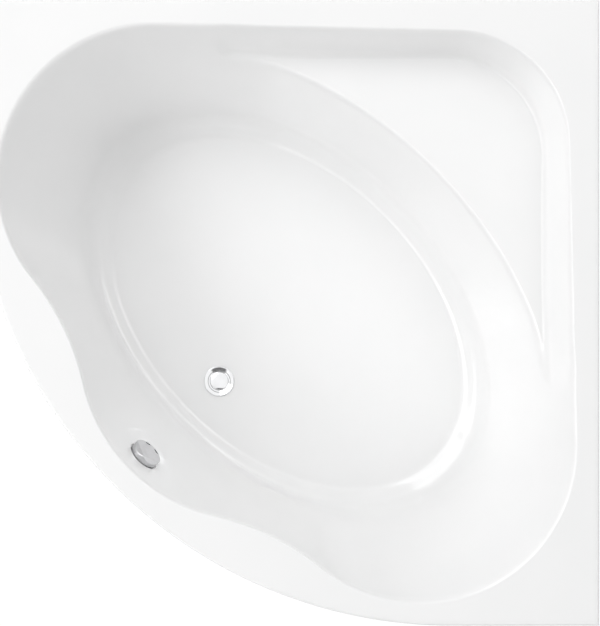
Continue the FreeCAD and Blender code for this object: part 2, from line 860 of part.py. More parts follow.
def plug():
    """Domed metal cap of the plug."""
    base = plug_base
    edge = base + plug_edge
    top = base + plug_height
    dome_radius = (plug_radius ** 2 + (top - edge) ** 2) / (2 * (top - edge))
    slope = math.asin(plug_radius / dome_radius) / 2
    middle = Vector(math.sin(slope), 0, math.cos(slope)) * dome_radius + up * (top - dome_radius)
    dome = Part.Arc(Vector(plug_radius, 0, edge), middle, Vector(0, 0, top)).toShape()
    lines = Part.makePolygon([Vector(0, 0, top), Vector(0, 0, base), Vector(plug_radius, 0, base),
                              Vector(plug_radius, 0, edge)])
    profile = Part.Wire(Part.sortEdges([dome] + lines.Edges)[0])
    cap = Part.Face(profile).revolve(Vector(), up, 360)
    cap.translate(waste_centre(0))
    return cap if cap.Volume > 0 else cap.reversed()


def plug_seal():
    outer = flange_throat + plug_seal_overlap
    base = plug_base - plug_seal_thickness
    return tube(waste_centre(base), outer, outer - plug_seal_width, plug_seal_thickness)


def plug_stem():
    return rod(waste_centre(plug_base - stem_length), stem_radius, stem_length)


def waste_body():
    """Plastic pot clamped under the floor, with the overflow's inlet and the dip tube."""
    top = body_top
    bottom = body_bottom
    dip_end = trap_low - dip_depth
    collar = flange_tube + hole_gap
    inner = body_radius - body_wall
    tail = floor_top + seal_thickness - flange_length - collar_overhang
    pot = spun([(collar, top), (body_flange_radius, top), (body_flange_radius, top - body_flange),
                (body_radius, top - body_flange), (body_radius, bottom), (dip_radius, bottom),
                (dip_radius, dip_end), (dip_radius - dip_wall, dip_end),
                (dip_radius - dip_wall, bottom + body_wall), (inner, bottom + body_wall),
                (inner, tail), (collar, tail)], waste_centre(0))
    inlet = Vector(waste_along - body_radius - spigot_length, 0, inlet_height)
    reach = spigot_length + 2 * body_wall
    pot = pot.fuse(rod(inlet, spigot_radius, reach, along))
    bosses = tube(lever_pivot - across * boss_reach, lever_boss, lever_shaft + thread_gap,
                  2 * boss_reach, across)
    pot = pot.fuse([bosses.cut(rod(waste_centre(bottom), inner, body_depth)), cable_stop()])
    pot = pot.cut(rod(inlet, spigot_radius - hose_wall, reach, along))
    shaft_hole = rod(lever_pivot - across * boss_reach, lever_shaft + thread_gap, 2 * boss_reach, across)
    return pot.cut(shaft_hole).removeSplitter()


def cable_stop():
    """Bracket on the waste body that the cable's sheath ends in."""
    near = body_radius - cable_stop_inset
    low = cable_level - cable_stop_height / 2
    high = low + cable_stop_height
    arm = block(Vector(cable_end, near, low),
                Vector(waste_along - cable_stop_root, near + cable_stop_wall, high))
    plate = block(Vector(cable_end, near, low),
                  Vector(cable_end + cable_stop_wall, cable_across + 2 * cable_radius, high))
    hole = rod(Vector(cable_end, cable_across, cable_level), cable_wire_hole, cable_stop_wall, along)
    arm = arm.cut(rod(waste_centre(low), body_radius - body_wall / 2, cable_stop_height))
    return arm.fuse(plate).cut(hole)


def lift_lever():
    """Lever inside the waste body: its nose lifts the plug's stem."""
    hub = rod(lever_pivot - across * lever_width, lever_hub, 2 * lever_width, across)
    nose_place = waste_centre(nose_height)
    nose = rod(nose_place - across * lever_width, lever_radius, 2 * lever_width, across)
    arm_line = nose_place - lever_pivot
    arm = block(Vector(0, -lever_width, -lever_arm), Vector(arm_line.Length, lever_width, lever_arm))
    arm.rotate(Vector(), across, math.degrees(-math.atan2(arm_line.z, arm_line.x)))
    arm.translate(lever_pivot)
    shaft_length = boss_reach + cable_across + crank_width / 2
    shaft = rod(lever_pivot - across * boss_reach, lever_shaft, shaft_length, across)
    return joined(hub, nose, arm, shaft)


def cable_crank():
    """Crank on the lever's shaft, outside the waste body, that the cable pulls."""
    half_width = crank_width / 2
    base = lever_pivot + across * (cable_across - half_width)
    hub = rod(base, lever_boss, crank_width, across)
    arm = block(base - along * half_width, base + Vector(half_width, crank_width, crank_length))
    nipple = rod(base + up * crank_length, half_width, crank_width, across)
    crank = joined(hub, arm, nipple)
    return crank.cut(rod(base, lever_shaft, crank_width, across))


# ---- trap

def union_ring(base, bore, direction):
    """Union nut with grip ribs."""
    ring = tube(base, bore + union_wall, bore, union_height, direction)
    ribs = []
    for k in range(rib_count):
        rib = rod(base + Vector(bore + union_wall, 0, 0), rib_radius, union_height)
        rib.rotate(base, up, 360 / rib_count * k)
        ribs.append(rib)
    if direction != up:
        for rib in ribs:
            rib.rotate(base, across, 90)
    nut = ring.fuse(ribs)
    return nut.cut(rod(base, bore, union_height, direction)).removeSplitter()


def trap_nut():
    return union_ring(waste_centre(trap_top), dip_radius + hole_gap, up)


def trap_lid():
    """Upper half of the trap: round chamber with its side outlet."""
    low = waste_centre(trap_low)
    start = outlet_centre(trap_radius - outlet_radius / 2)
    stub_length = outlet_stub + outlet_radius / 2
    chamber = rod(low, trap_radius, trap_lid_height)
    chamber = chamber.fuse(rod(start, outlet_radius + trap_wall, stub_length, along))
    openings = [rod(low, trap_radius - trap_wall, trap_lid_height - trap_wall),
                rod(low, dip_radius + hole_gap, trap_lid_height),
                rod(start, outlet_radius - outlet_step + hole_gap, stub_length, along)]
    return on_outlet(chamber.cut(openings).removeSplitter())


def outlet_centre(reach):
    return Vector(waste_along + reach, 0, trap_top - outlet_drop)


def on_outlet(shape):
    """Turns a piece of the trap about the waste's axis, to the way that the outlet leaves."""
    turned = shape.copy()
    turned.rotate(waste_centre(0), up, outlet_turn)
    return turned


def trap_seal():
    return tube(waste_centre(trap_low - seal_thickness), trap_radius, trap_radius - trap_wall, seal_thickness)


def trap_cup():
    """Screwed-on lower half of the trap, for cleaning."""
    shoulder = trap_low - seal_thickness
    top = shoulder + cup_overlap
    bottom = shoulder - cup_depth
    outer = trap_radius + trap_wall
    grip = trap_radius + hole_gap
    inner = trap_radius - trap_wall
    return spun([(0, bottom), (outer - cup_taper, bottom), (outer, bottom + cup_taper), (outer, top),
                 (grip, top), (grip, shoulder), (inner, shoulder), (inner, bottom + cup_taper),
                 (inner - trap_wall, bottom + trap_wall), (0, bottom + trap_wall)], waste_centre(0))


def outlet_nut():
    start = outlet_centre(trap_radius + outlet_nut_gap)
    return on_outlet(union_ring(start, outlet_radius + trap_wall, along))


def outlet_pipe():
    """Waste pipe: a slimmer end seated in the trap's stub, then its full width."""
    seated = outlet_stub + outlet_clear
    start = outlet_centre(trap_radius)
    pipe = rod(start, outlet_radius - outlet_step, seated, along)
    pipe = pipe.fuse(rod(outlet_centre(trap_radius + seated), outlet_radius, outlet_free, along))
    return on_outlet(pipe.cut(rod(start, outlet_radius - outlet_wall, seated + outlet_free, along)))


# ---- overflow

def on_overflow(shape):
    """Moves a piece made on the Z axis, with z = 0 on the seat, to the overflow in the front wall."""
    moved = shape.copy()
    moved.rotate(Vector(), across, 90 - overflow_tilt)
    moved.translate(overflow_seat)
    return moved


def overflow_seal():
    return on_overflow(tube(up * elbow_top, gasket_radius, overflow_hole, overflow_seal_thickness))


def overflow_body():
    """Plastic elbow behind the wall, with lugs for the screws, a bush and the hose spigot."""
    inner = elbow_radius - elbow_wall
    bottom = up * elbow_bottom
    cup = rod(bottom, elbow_radius, elbow_depth)
    cup = cup.fuse(rod(up * (elbow_top - elbow_flange), gasket_radius, elbow_flange))
    cup = on_overflow(cup).fuse([rod(spigot_low, spigot_radius, spigot_reach), cable_port()])
    hollow = rod(up * (elbow_bottom + elbow_wall), inner, elbow_depth)
    cup = cup.cut([on_overflow(hollow), rod(spigot_low, spigot_radius - hose_wall, spigot_reach)])
    inside = [rod(bottom, bush_radius, bush_height)]
    holes = [rod(up * (elbow_bottom + elbow_wall), shaft_radius + thread_gap, bush_height)]
    for end in (-1, 1):
        lug = across * end * lug_place
        inside.append(rod(lug + bottom, lug_radius, elbow_depth - lug_gap))
        holes.append(rod(lug + up * (elbow_top - lug_screw), fastener_radius + hole_gap, lug_screw))
    cup = cup.fuse([on_overflow(piece) for piece in inside])
    return cup.cut([on_overflow(hole) for hole in holes]).removeSplitter()


def cable_port():
    """Side housing of the elbow that the cable leaves downwards."""
    reach = cable_port_size / 2
    return block(Vector(hose_along - reach, elbow_radius - cable_port_root, cable_top),
                 Vector(hose_along + reach, cable_across + reach, cable_top + cable_port_height))


def overflow_ring():
    """Clamping ring on the basin side, with a bridge for the shaft's bush and the screws."""
    ring = tube(Vector(), ring_radius, ring_inner, ring_thickness)
    bridge = block(Vector(-bridge_width / 2, -overflow_hole, 0),
                   Vector(bridge_width / 2, overflow_hole, ring_thickness))
    ring = ring.fuse([bridge, rod(up * -bush_height, bush_radius, bush_height + ring_thickness)])
    holes = [rod(up * -bush_height, shaft_radius + thread_gap, bush_height + ring_thickness)]
    holes += [rod(Vector(0, end * lug_place, 0), fastener_radius + hole_gap, ring_thickness) for end in (-1, 1)]
    return on_overflow(ring.cut(holes).removeSplitter())


def ring_screws():
    """Two screws from the clamping ring into the elbow's lugs."""
    length = ring_thickness - elbow_top + lug_screw - lug_gap
    down = up * -1
    group = []
    for end in (-1, 1):
        tip = Vector(0, end * lug_place, ring_thickness - length)
        group.append(on_overflow(screw_small(tip, length, down)))
    return Part.Compound(group)


def screw_small(tip, length, direction):
    back = tip - direction * length
    shank = rod(back, fastener_radius, length, direction)
    return joined(shank, rod(back, small_head, small_head_height, direction * -1))


def finger_bevel(end):
    """The block that is cut away for one finger bevel, its edge on the knob's face."""
    cutter = block(Vector(-knob_radius, 0, 0), Vector(3 * knob_radius, 2 * knob_radius, knob_height))
    cutter.rotate(Vector(), along, -knob_bevel)
    cutter.rotate(Vector(), up, knob_ridge)
    cutter.translate(Vector(-knob_ridge_start, 0, knob_top))
    return cutter if end > 0 else cutter.mirror(Vector(), across)


def knob_slot(end):
    slot = block(Vector(knob_slot_place, -knob_slot_length / 2, knob_base),
                 Vector(knob_slot_place + knob_slot_width, knob_slot_length / 2, knob_top))
    slot.rotate(Vector(), up, end * knob_slot_turn)
    return slot


def overflow_knob():
    """Hollow turning knob: two finger bevels meet in a ridge at its top, two slots let water in."""
    cap = spun([(0, knob_base), (knob_radius, knob_base), (knob_radius, knob_top - knob_edge),
                (knob_radius - knob_edge, knob_top), (0, knob_top)])
    hollow = tube(up * knob_base, knob_radius - knob_wall, bush_radius, knob_height - knob_face)
    socket = rod(up * knob_base, shaft_radius, knob_height - knob_edge - shaft_radius)
    cutters = [finger_bevel(end) for end in (-1, 1)] + [knob_slot(end) for end in (-1, 1)]
    return on_overflow(cap.cut([hollow, socket] + cutters))


def knob_shaft():
    low = elbow_bottom + elbow_wall + shaft_end_gap
    return on_overflow(rod(up * low, shaft_radius, knob_top - knob_edge - shaft_radius - low))


def cable_drum():
    """Grooved drum on the knob's shaft that the cable's wire winds on."""
    low = elbow_bottom + bush_height + drum_gap
    high = low + drum_height
    groove = drum_height / 4
    profile = [(shaft_radius, low), (drum_radius, low), (drum_radius, low + groove),
               (drum_radius - groove, low + 2 * groove), (drum_radius, low + 3 * groove),
               (drum_radius, high), (shaft_radius, high)]
    return on_overflow(spun(profile))


# ---- hose and cable

def drop_and_turn(start, level, bend, end_along):
    """A route straight down, round a quarter turn, and on towards the waste."""
    turn_start = Vector(start.x, start.y, level + bend)
    middle = turn_start + Vector(bend * (1 - 1 / root2), 0, -bend / root2)
    turn_end = Vector(start.x + bend, start.y, level)
    end = Vector(end_along, start.y, level)
    return Part.Wire([Part.makeLine(start, turn_start), Part.Arc(turn_start, middle, turn_end).toShape(),
                      Part.makeLine(turn_end, end)])


def swept(route, radius):
    start = route.Edges[0].Vertexes[0].Point
    ring = Part.Wire(Part.makeCircle(radius, start, up))
    solid = route.makePipeShell([ring], True, False)
    return solid if solid.Volume > 0 else solid.reversed()


def overflow_hose():
    """Flexible hose from the elbow's spigot to the waste body's inlet."""
    start = spigot_low + up * (spigot_length - hose_end_gap)
    route = drop_and_turn(start, inlet_height, hose_bend, waste_along - body_radius - hole_gap)
    return swept(route, hose_radius).cut(swept(route, hose_radius - hose_wall))


def control_cable():
    """Sheathed cable from the elbow to its stop on the waste body."""
    start = Vector(hose_along, cable_across, cable_top)
    route = drop_and_turn(start, cable_level, hose_bend, cable_end)
    cable = swept(route, cable_radius)
    print("cable bend radius", hose_bend, "volume against section times length",
          round(cable.Volume / (math.pi * cable_radius ** 2 * route.Length), 4))
    return cable


def hose_clips():
    """Bands that hold the hose on its two spigots."""
    wide = hose_radius + clip_wall
    inset = (spigot_length - hose_clip_width) / 2
    upper = spigot_low + up * inset
    lower = Vector(waste_along - body_radius - spigot_length + inset, 0, inlet_height)
    return Part.Compound([tube(upper, wide, hose_radius, hose_clip_width),
                          tube(lower, wide, hose_radius, hose_clip_width, along)])


def cable_clips():
    """Twin clips that hold the cable beside the hose."""
    group = []
    for level in clip_heights:
        hose = Vector(hose_along, 0, level)
        cable = hose + across * cable_across
        web = block(hose + Vector(-clip_web / 2, hose_radius, 0),
                    cable + Vector(clip_web / 2, -cable_radius, clip_height))
        clip = rod(hose, hose_radius + clip_wall, clip_height).fuse(
            [rod(cable, cable_radius + clip_wall, clip_height), web])
        group.append(clip.cut([rod(hose, hose_radius, clip_height), rod(cable, cable_radius, clip_height)]))
    return Part.Compound(group)


def save(name, shape):
    shape.exportStep("parts/" + name + ".step")


os.makedirs("parts", exist_ok=True)

# Pieces made in the room's directions
save("tub_shell", tub_shell())
save("front_panel", front_panel())
save("panel_angle_right", panel_angle())
save("panel_angle_left", swap_sides(panel_angle()))
save("wall_hangers", wall_hangers())

# Pieces made along the diagonal
diagonal_pieces = {
    "base_board": base_board(),
    "front_bar": cross_bar(front_bar),
    "rear_bar": cross_bar(rear_bar),
    "corner_bar": corner_bar(),
    "bar_end_caps": end_caps(),
    "frame_screws": frame_screws(),
    "weld_nuts": nuts(bar_bottom - nut_height),
    "lock_nuts": nuts(bar_bottom - 2 * nut_height),
    "post_screws": tab_screws(),
    "panel_screws": panel_screws(),
    "waste_flange": waste_flange(),
    "waste_cross": waste_cross(),
    "flange_seal": flange_seal(),
    "body_seal": body_seal(),
    "waste_body": waste_body(),
    "plug_cap": plug(),
    "plug_seal": plug_seal(),
    "plug_stem": plug_stem(),
    "lift_lever": lift_lever(),
    "cable_crank": cable_crank(),
    "trap_nut": trap_nut(),
    "trap_lid": trap_lid(),
    "trap_seal": trap_seal(),
    "trap_cup": trap_cup(),
    "outlet_nut": outlet_nut(),
    "outlet_pipe": outlet_pipe(),
    "overflow_seal": overflow_seal(),
    "overflow_body": overflow_body(),
    "overflow_ring": overflow_ring(),
    "ring_screws": ring_screws(),
    "overflow_knob": overflow_knob(),
    "knob_shaft": knob_shaft(),
    "cable_drum": cable_drum(),
    "overflow_hose": overflow_hose(),
    "hose_clips": hose_clips(),
    "control_cable": control_cable(),
    "cable_clips": cable_clips(),
}
for number, place in enumerate(foot_places(), 1):
    diagonal_pieces["foot_spindle_" + str(number)] = spindle(place)
    diagonal_pieces["foot_pad_" + str(number)] = pad(place)
for number, angle in enumerate(post_angles, 1):
    diagonal_pieces["rim_block_" + str(number)] = rim_block(angle)
    diagonal_pieces["panel_post_" + str(number)] = panel_post(angle)
for name, piece in diagonal_pieces.items():
    save(name, to_room(piece))
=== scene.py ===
import json
import math
import bmesh
import bpy
import numpy as np
from mathutils import Matrix, Vector


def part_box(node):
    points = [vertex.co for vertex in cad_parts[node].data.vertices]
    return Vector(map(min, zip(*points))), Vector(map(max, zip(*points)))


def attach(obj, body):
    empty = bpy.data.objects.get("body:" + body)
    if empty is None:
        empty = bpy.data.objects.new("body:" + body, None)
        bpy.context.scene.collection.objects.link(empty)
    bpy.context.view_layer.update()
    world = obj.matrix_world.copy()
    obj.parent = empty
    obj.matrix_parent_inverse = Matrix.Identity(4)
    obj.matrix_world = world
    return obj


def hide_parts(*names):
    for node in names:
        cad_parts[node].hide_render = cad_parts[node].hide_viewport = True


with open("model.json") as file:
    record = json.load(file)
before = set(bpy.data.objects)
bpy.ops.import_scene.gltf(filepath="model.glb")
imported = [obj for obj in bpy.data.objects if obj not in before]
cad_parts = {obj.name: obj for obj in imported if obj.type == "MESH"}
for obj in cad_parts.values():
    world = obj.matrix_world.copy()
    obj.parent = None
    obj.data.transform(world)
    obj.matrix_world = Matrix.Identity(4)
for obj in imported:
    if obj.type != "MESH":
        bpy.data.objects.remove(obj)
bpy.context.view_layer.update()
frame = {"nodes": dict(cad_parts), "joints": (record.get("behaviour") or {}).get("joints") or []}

cad = frame["nodes"]

# ---- Moulded shell
# One vacuum-formed sheet of glossy white acrylic, 5 mm thick: rim, turned-down lip, oval basin with
# a corner shelf and a low step round its floor. The overflow's flat seat is pressed into its front.

root2 = math.sqrt(2)
half_side, front_arc, sheet = 0.700, 1.070, 0.005
rim_top, lip_low, edge_round, lip_round = 0.580, 0.542, 0.006, 0.0015
corner_rim, side_rim, front_rim = 0.070, 0.055, 0.054
corner_arc, lobe_arc, bulge_arc, valley_arc = 0.253, 0.348, 0.391, 0.587
bowl_axes, step_axes, floor_axes = (0.51574, 0.79002), (0.35174, 0.53602), (0.33174, 0.49602)
ledge_depth, step_height, ledge_width = 0.398, 0.022, 0.014
shelf_depth, shelf_slope, shelf_fade = 0.125, 2.6, (56, 76)
rim_blend, shelf_blend, ridge_blend, foot_blend, step_blend = 0.016, 0.026, 0.022, 0.044, 0.008

front_middle = root2 * (front_arc - half_side)
front_apex = front_middle - front_arc
bulge_centre = np.array([front_apex + front_rim + bulge_arc, 0])
lobe_centre = np.array([0, root2 * (half_side - side_rim - lobe_arc)])
corner_centre = np.array([root2 * (half_side - corner_rim - corner_arc), 0])
between = lobe_centre - bulge_centre
apart = np.hypot(*between)
forward = between / apart
along_line = ((bulge_arc + valley_arc) ** 2 - (lobe_arc + valley_arc) ** 2 + apart ** 2) / (2 * apart)
aside = math.sqrt((bulge_arc + valley_arc) ** 2 - along_line ** 2)
valley_centre = bulge_centre + forward * along_line + np.array([-forward[1], forward[0]]) * aside
edge_angle = math.acos((lobe_arc - corner_arc) / math.hypot(corner_centre[0], lobe_centre[1]))
edge_angle -= math.atan2(lobe_centre[1], corner_centre[0])
edge_normal = np.array([math.cos(edge_angle), math.sin(edge_angle)])


def direction(point):
    return math.atan2(point[1], point[0])


def toward(start, end, reach):
    return start + (end - start) / np.hypot(*(end - start)) * reach


edge_breaks = [direction(corner_centre + edge_normal * corner_arc),
               direction(lobe_centre + edge_normal * lobe_arc),
               direction(toward(lobe_centre, valley_centre, lobe_arc)),
               direction(toward(bulge_centre, valley_centre, bulge_arc))]


def to_circle(angle, centre, radius, side=1):
    """Distance from the middle to a circle along each direction, at its far or near crossing."""
    reach = centre[0] * np.cos(angle) + centre[1] * np.sin(angle)
    return reach + side * np.sqrt(np.maximum(radius ** 2 - centre @ centre + reach ** 2, 0))


def rim_radius(angle):
    """Basin edge: corner arc, straight side, lobe arc, valley arc and front bulge, in that order."""
    straight = (lobe_centre @ edge_normal + lobe_arc) / np.maximum(np.cos(angle - edge_angle), 0.1)
    return np.select([angle < edge for edge in edge_breaks],
                     [to_circle(angle, corner_centre, corner_arc), straight,
                      to_circle(angle, lobe_centre, lobe_arc),
                      to_circle(angle, valley_centre, valley_arc, -1)],
                     to_circle(angle, bulge_centre, bulge_arc))


def ellipse(angle, axes, grow=0.0):
    return 1 / np.hypot(np.cos(angle) / (axes[0] + grow), np.sin(angle) / (axes[1] + grow))


def soft_min(a, b, blend):
    """The lesser of two depths; where they are within the blend, a parabola joins them."""
    near = np.maximum(blend - np.abs(a - b), 0) / blend
    return np.minimum(a, b) - near * near * blend / 4


def soft_max(a, b, blend):
    return -soft_min(-a, -b, blend)


def basin_depth(turn, radius):
    """Depth under the rim: a conical bowl between the mouth and the step's ellipse, the corner shelf
    with its steep band, the ledge and the step down to the floor, joined with rounded blends."""
    angle = np.abs(turn)
    rim = rim_radius(angle)
    mouth = soft_min(rim, ellipse(angle, bowl_axes), ridge_blend)
    foot = ellipse(angle, step_axes, ledge_width)
    bowl = soft_min(ledge_depth * (mouth - radius) / (mouth - foot), ledge_depth, foot_blend)
    shelf = soft_min(shelf_slope * (rim - radius), shelf_depth, shelf_blend)
    fade = np.clip((np.degrees(angle) - shelf_fade[0]) / (shelf_fade[1] - shelf_fade[0]), 0, 1)
    shelf = shelf - 2 * shelf_depth * fade * fade * (3 - 2 * fade)
    step, floor = ellipse(angle, step_axes), ellipse(angle, floor_axes)
    riser = step_height * (step - radius) / (step - floor)
    riser = soft_min(soft_max(riser, 0, step_blend), step_height, step_blend)
    return soft_max(soft_max(bowl, shelf, ridge_blend), 0, rim_blend) + riser


def outline_radius(turn, inset):
    """Distance from the middle to the bath's outline moved in: two sides to each corner, then the arc."""
    angle = np.abs(turn)
    reach = half_side - inset
    start = np.arctan2(front_arc - half_side + reach, front_arc - half_side - reach)
    sides = [reach / np.maximum(np.cos(angle - centre), 0.1) for centre in (math.pi / 4, 3 * math.pi / 4)]
    front = to_circle(angle, np.array([front_middle, 0]), front_arc - inset)
    return np.select([angle <= math.pi / 2, angle <= start], sides, front)


def room_points(turn, radius, height):
    """Polar places about the bath's diagonal, turned into the room's X, Y, Z."""
    turned = turn + math.pi / 4
    return np.stack(np.broadcast_arrays(radius * np.cos(turned), radius * np.sin(turned), height), -1)


def offset_skin(turn, radius, sink):
    """Points of the basin's surface moved against its normal, which comes from the depth's slopes."""
    small = 1e-5
    out = (basin_depth(turn, radius + small) - basin_depth(turn, radius - small)) / (2 * small)
    round_ = (basin_depth(turn + small, radius) - basin_depth(turn - small, radius)) / (2 * small * radius)
    longer = sink / np.sqrt(out ** 2 + round_ ** 2 + 1)
    moved, turned = radius - out * longer, -round_ * longer
    height = rim_top - basin_depth(turn, radius) - longer
    return room_points(turn + np.arctan2(turned, moved), np.hypot(moved, turned), height)


def closed_skin(points, faces, name):
    """A mesh whose faces look outward: they're turned round when the signed volume is negative."""
    mesh = bpy.data.meshes.new(name)
    mesh.from_pydata(points.tolist(), [], faces)
    mesh.calc_loop_triangles()
    corners = np.empty(len(mesh.loop_triangles) * 3, np.int32)
    mesh.loop_triangles.foreach_get("vertices", corners)
    a, b, c = points[corners.reshape(-1, 3).T]
    if np.einsum("ij,ij", a, np.cross(b, c)) < 0:
        mesh.flip_normals()
    return mesh


def closed_grid(points, name):
    """A closed skin from a grid of (row, column) points: columns wrap round, and the first and last
    rows are each drawn together to one point."""
    rows, columns = points.shape[:2]
    ring = points[1:-1].reshape(-1, 3)
    ends = points[[0, -1]].mean(1)
    index = np.arange((rows - 2) * columns).reshape(rows - 2, columns)
    here, there = index, np.roll(index, -1, 1)
    quads = np.stack([here[:-1], here[1:], there[1:], there[:-1]], -1).reshape(-1, 4)
    first = np.stack([np.full(columns, len(ring)), here[0], there[0]], -1)
    last = np.stack([np.full(columns, len(ring) + 1), there[-1], here[-1]], -1)
    return closed_skin(np.vstack([ring, ends]), quads.tolist() + first.tolist() + last.tolist(), name)


def piece_from(mesh, name, sharp=35):
    """A linked object with smooth faces, sharp only where the surface turns by more than an angle."""
    mesh.shade_smooth()
    mesh.set_sharp_from_angle(angle=math.radians(sharp))
    piece = bpy.data.objects.new(name, mesh)
    bpy.context.scene.collection.objects.link(piece)
    return piece


# Columns of the grid, in degrees from the wall corner: they fall on the corners of the outline.
spans = [(0, 45, 55), (45, 90, 52), (90, 107.14, 24), (107.14, 180, 88)]
half_turn = np.concatenate([np.linspace(a, b, n, endpoint=False) for a, b, n in spans])
turns = np.radians(np.concatenate([half_turn, [180], -half_turn[:0:-1]]))

# Rows: even shares of the section's length and of its bending, so that they crowd on the blends.
row_count, fine_count, middle_share = 142, 1400, 0.002
by_length, by_bend, by_step = 0.50, 0.46, 0.04
fine = np.linspace(middle_share, 1, fine_count)[:, None]
reach = outline_radius(turns, edge_round)[None, :]
fine_height = -basin_depth(turns, fine * reach)
run, rise = np.diff(fine * reach, axis=0), np.diff(fine_height, axis=0)
length = np.hypot(run, rise)
bend = np.abs(np.diff(np.arctan2(rise, run), axis=0, append=0))
bend[-1] = 0
weight = by_length * length / length.sum(0) + by_bend * bend / bend.sum(0) + by_step / len(length)
weight = np.vstack([np.zeros(len(turns)), np.cumsum(weight, 0)])
share = np.linspace(0, 1, row_count)
radius = np.stack([np.interp(share, w, fine[:, 0] * r) for w, r in zip(weight.T, reach[0])], 1)
skin_top = room_points(turns, radius, rim_top - basin_depth(turns, radius))
curl = np.linspace(0, math.pi / 2, 6)[1:]
skin_edge = [room_points(turns, outline_radius(turns, edge_round * (1 - math.sin(a))),
                         rim_top - edge_round * (1 - math.cos(a))) for a in curl]
skin_lip = [room_points(turns, outline_radius(turns, inset), height) for inset, height in
            ((0, lip_low + lip_round), (lip_round, lip_low), (sheet, lip_low), (sheet, rim_top - sheet))]

# The underside is the same surface moved in by the sheet, with a third of the rows. It ends at the lip.
lip_clear = 0.001
lip_inside = outline_radius(turns, sheet + lip_clear)
under = offset_skin(turns, np.minimum(radius[::-3], lip_inside), sheet)
floor_top = rim_top - ledge_depth - step_height
middle_top = np.broadcast_to([0, 0, floor_top], (1, len(turns), 3))
middle_low = np.broadcast_to([0, 0, floor_top - sheet], (1, len(turns), 3))
grid = np.concatenate([middle_low, under[::-1], np.stack(skin_lip[::-1] + skin_edge[::-1]),
                       skin_top[::-1], middle_top])
shell = piece_from(closed_grid(grid, "bath_shell"), "bath_shell")


def turned_solid(profile, base, axis, count, name):
    """A solid of revolution: a closed line of (radius, height) points carried round an axis; the line
    starts and ends on the axis."""
    profile = np.array(profile)
    angle = np.linspace(0, 2 * math.pi, count, endpoint=False)
    frame_turn = Vector((0, 0, 1)).rotation_difference(Vector(axis)).to_matrix()
    local = np.stack(np.broadcast_arrays(profile[:, :1] * np.cos(angle), profile[:, :1] * np.sin(angle),
                                         profile[:, 1:]), -1)
    return closed_grid(local @ np.array(frame_turn).T + np.array(base), name)


def carve(piece, tool_mesh, operation):
    """Joins a helper solid to a piece or takes it away, and leaves nothing of the helper behind. Points
    that the cut leaves within a micrometre of each other are made one, so that the skin stays closed."""
    tool = bpy.data.objects.new("tool", tool_mesh)
    bpy.context.scene.collection.objects.link(tool)
    modifier = piece.modifiers.new("carve", "BOOLEAN")
    modifier.operation, modifier.solver, modifier.object = operation, "EXACT", tool
    evaluated = piece.evaluated_get(bpy.context.evaluated_depsgraph_get())
    mesh = bpy.data.meshes.new_from_object(evaluated)
    piece.modifiers.clear()
    piece.data = mesh
    skin = bmesh.new()
    skin.from_mesh(mesh)
    bmesh.ops.remove_doubles(skin, verts=skin.verts, dist=1e-6)
    skin.to_mesh(mesh)
    skin.free()
    bpy.data.objects.remove(tool)
    mesh.shade_smooth()
    mesh.set_sharp_from_angle(angle=math.radians(35))


def middle_of(node):
    """The place on the room's floor under the middle of a CAD node, to the micrometre."""
    low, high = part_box(node)
    return np.round([(low.x + high.x) / 2, (low.y + high.y) / 2, 0], 6)


# The overflow's seat is a flat pad joined behind the wall and cut flush with a disc in front of it.
knob_joint = next(joint for joint in frame["joints"] if joint["name"] == "knob_turn")
knob_seat, knob_axis = np.array(knob_joint["pos_m"]), np.array(knob_joint["axis"])
waste = middle_of("waste_flange")
seat_round, seat_cut, overflow_hole, waste_hole = 0.043, 0.038, 0.024, 0.026
seat_place, waste_place = (knob_seat, knob_axis), (waste, (0, 0, 1))
for hole_radius, low, high, place, count, operation in (
        (seat_round, -0.012, -0.001, seat_place, 64, "UNION"),
        (seat_cut, 0, 0.030, seat_place, 96, "DIFFERENCE"),
        (overflow_hole, -0.030, 0.020, seat_place, 64, "DIFFERENCE"),
        (waste_hole, floor_top - 0.020, floor_top + 0.010, waste_place, 64, "DIFFERENCE")):
    section = [(0, low), (hole_radius, low), (hole_radius, high), (0, high)]
    carve(shell, turned_solid(section, *place, count, "tool"), operation)


class Value:
    """A node's output in a material; arithmetic on it adds Math nodes."""

    def __init__(self, tree, out):
        self.tree, self.out = tree, out

    def math(self, operation, *values):
        return add(self.tree, "ShaderNodeMath", {"operation": operation}, dict(enumerate(values)))

    def __add__(self, other):
        return self.math("ADD", self, other)

    def __sub__(self, other):
        return self.math("SUBTRACT", self, other)

    def __rsub__(self, other):
        return self.math("SUBTRACT", other, self)

    def __mul__(self, other):
        return self.math("MULTIPLY", self, other)

    def within(self, low, high):
        """0 below the low value, 1 above the high one, smooth between."""
        return add(self.tree, "ShaderNodeMapRange", {"interpolation_type": "SMOOTHSTEP"},
                   {"Value": self, "From Min": low, "From Max": high}, "Result")

    __radd__, __rmul__ = __add__, __mul__


def add(tree, kind, settings, sockets, out=0):
    """One node: its settings first, then the values or links of its sockets; returns one output."""
    node = tree.nodes.new(kind)
    for key, value in settings.items():
        setattr(node, key, value)
    for key, value in sockets.items():
        if isinstance(value, Value):
            tree.links.new(value.out, node.inputs[key])
        else:
            node.inputs[key].default_value = value
    return Value(tree, node.outputs[out])


def pattern(tree, kind, scale, stretch=(1, 1, 1), settings=None, out=0, **sockets):
    """A texture on the object's own coordinates, in metres, stretched per axis."""
    place = add(tree, "ShaderNodeTexCoord", {}, {}, "Object")
    place = add(tree, "ShaderNodeMapping", {}, {"Vector": place, "Scale": stretch})
    values = {"Vector": place, "Scale": scale}
    values.update({key.replace("_", " "): value for key, value in sockets.items()})
    return add(tree, kind, settings or {}, values, out)


def mix(tree, share, first, second):
    """Two colours mixed by a share."""
    return add(tree, "ShaderNodeMix", {"data_type": "RGBA"}, {0: share, 6: first, 7: second}, 2)


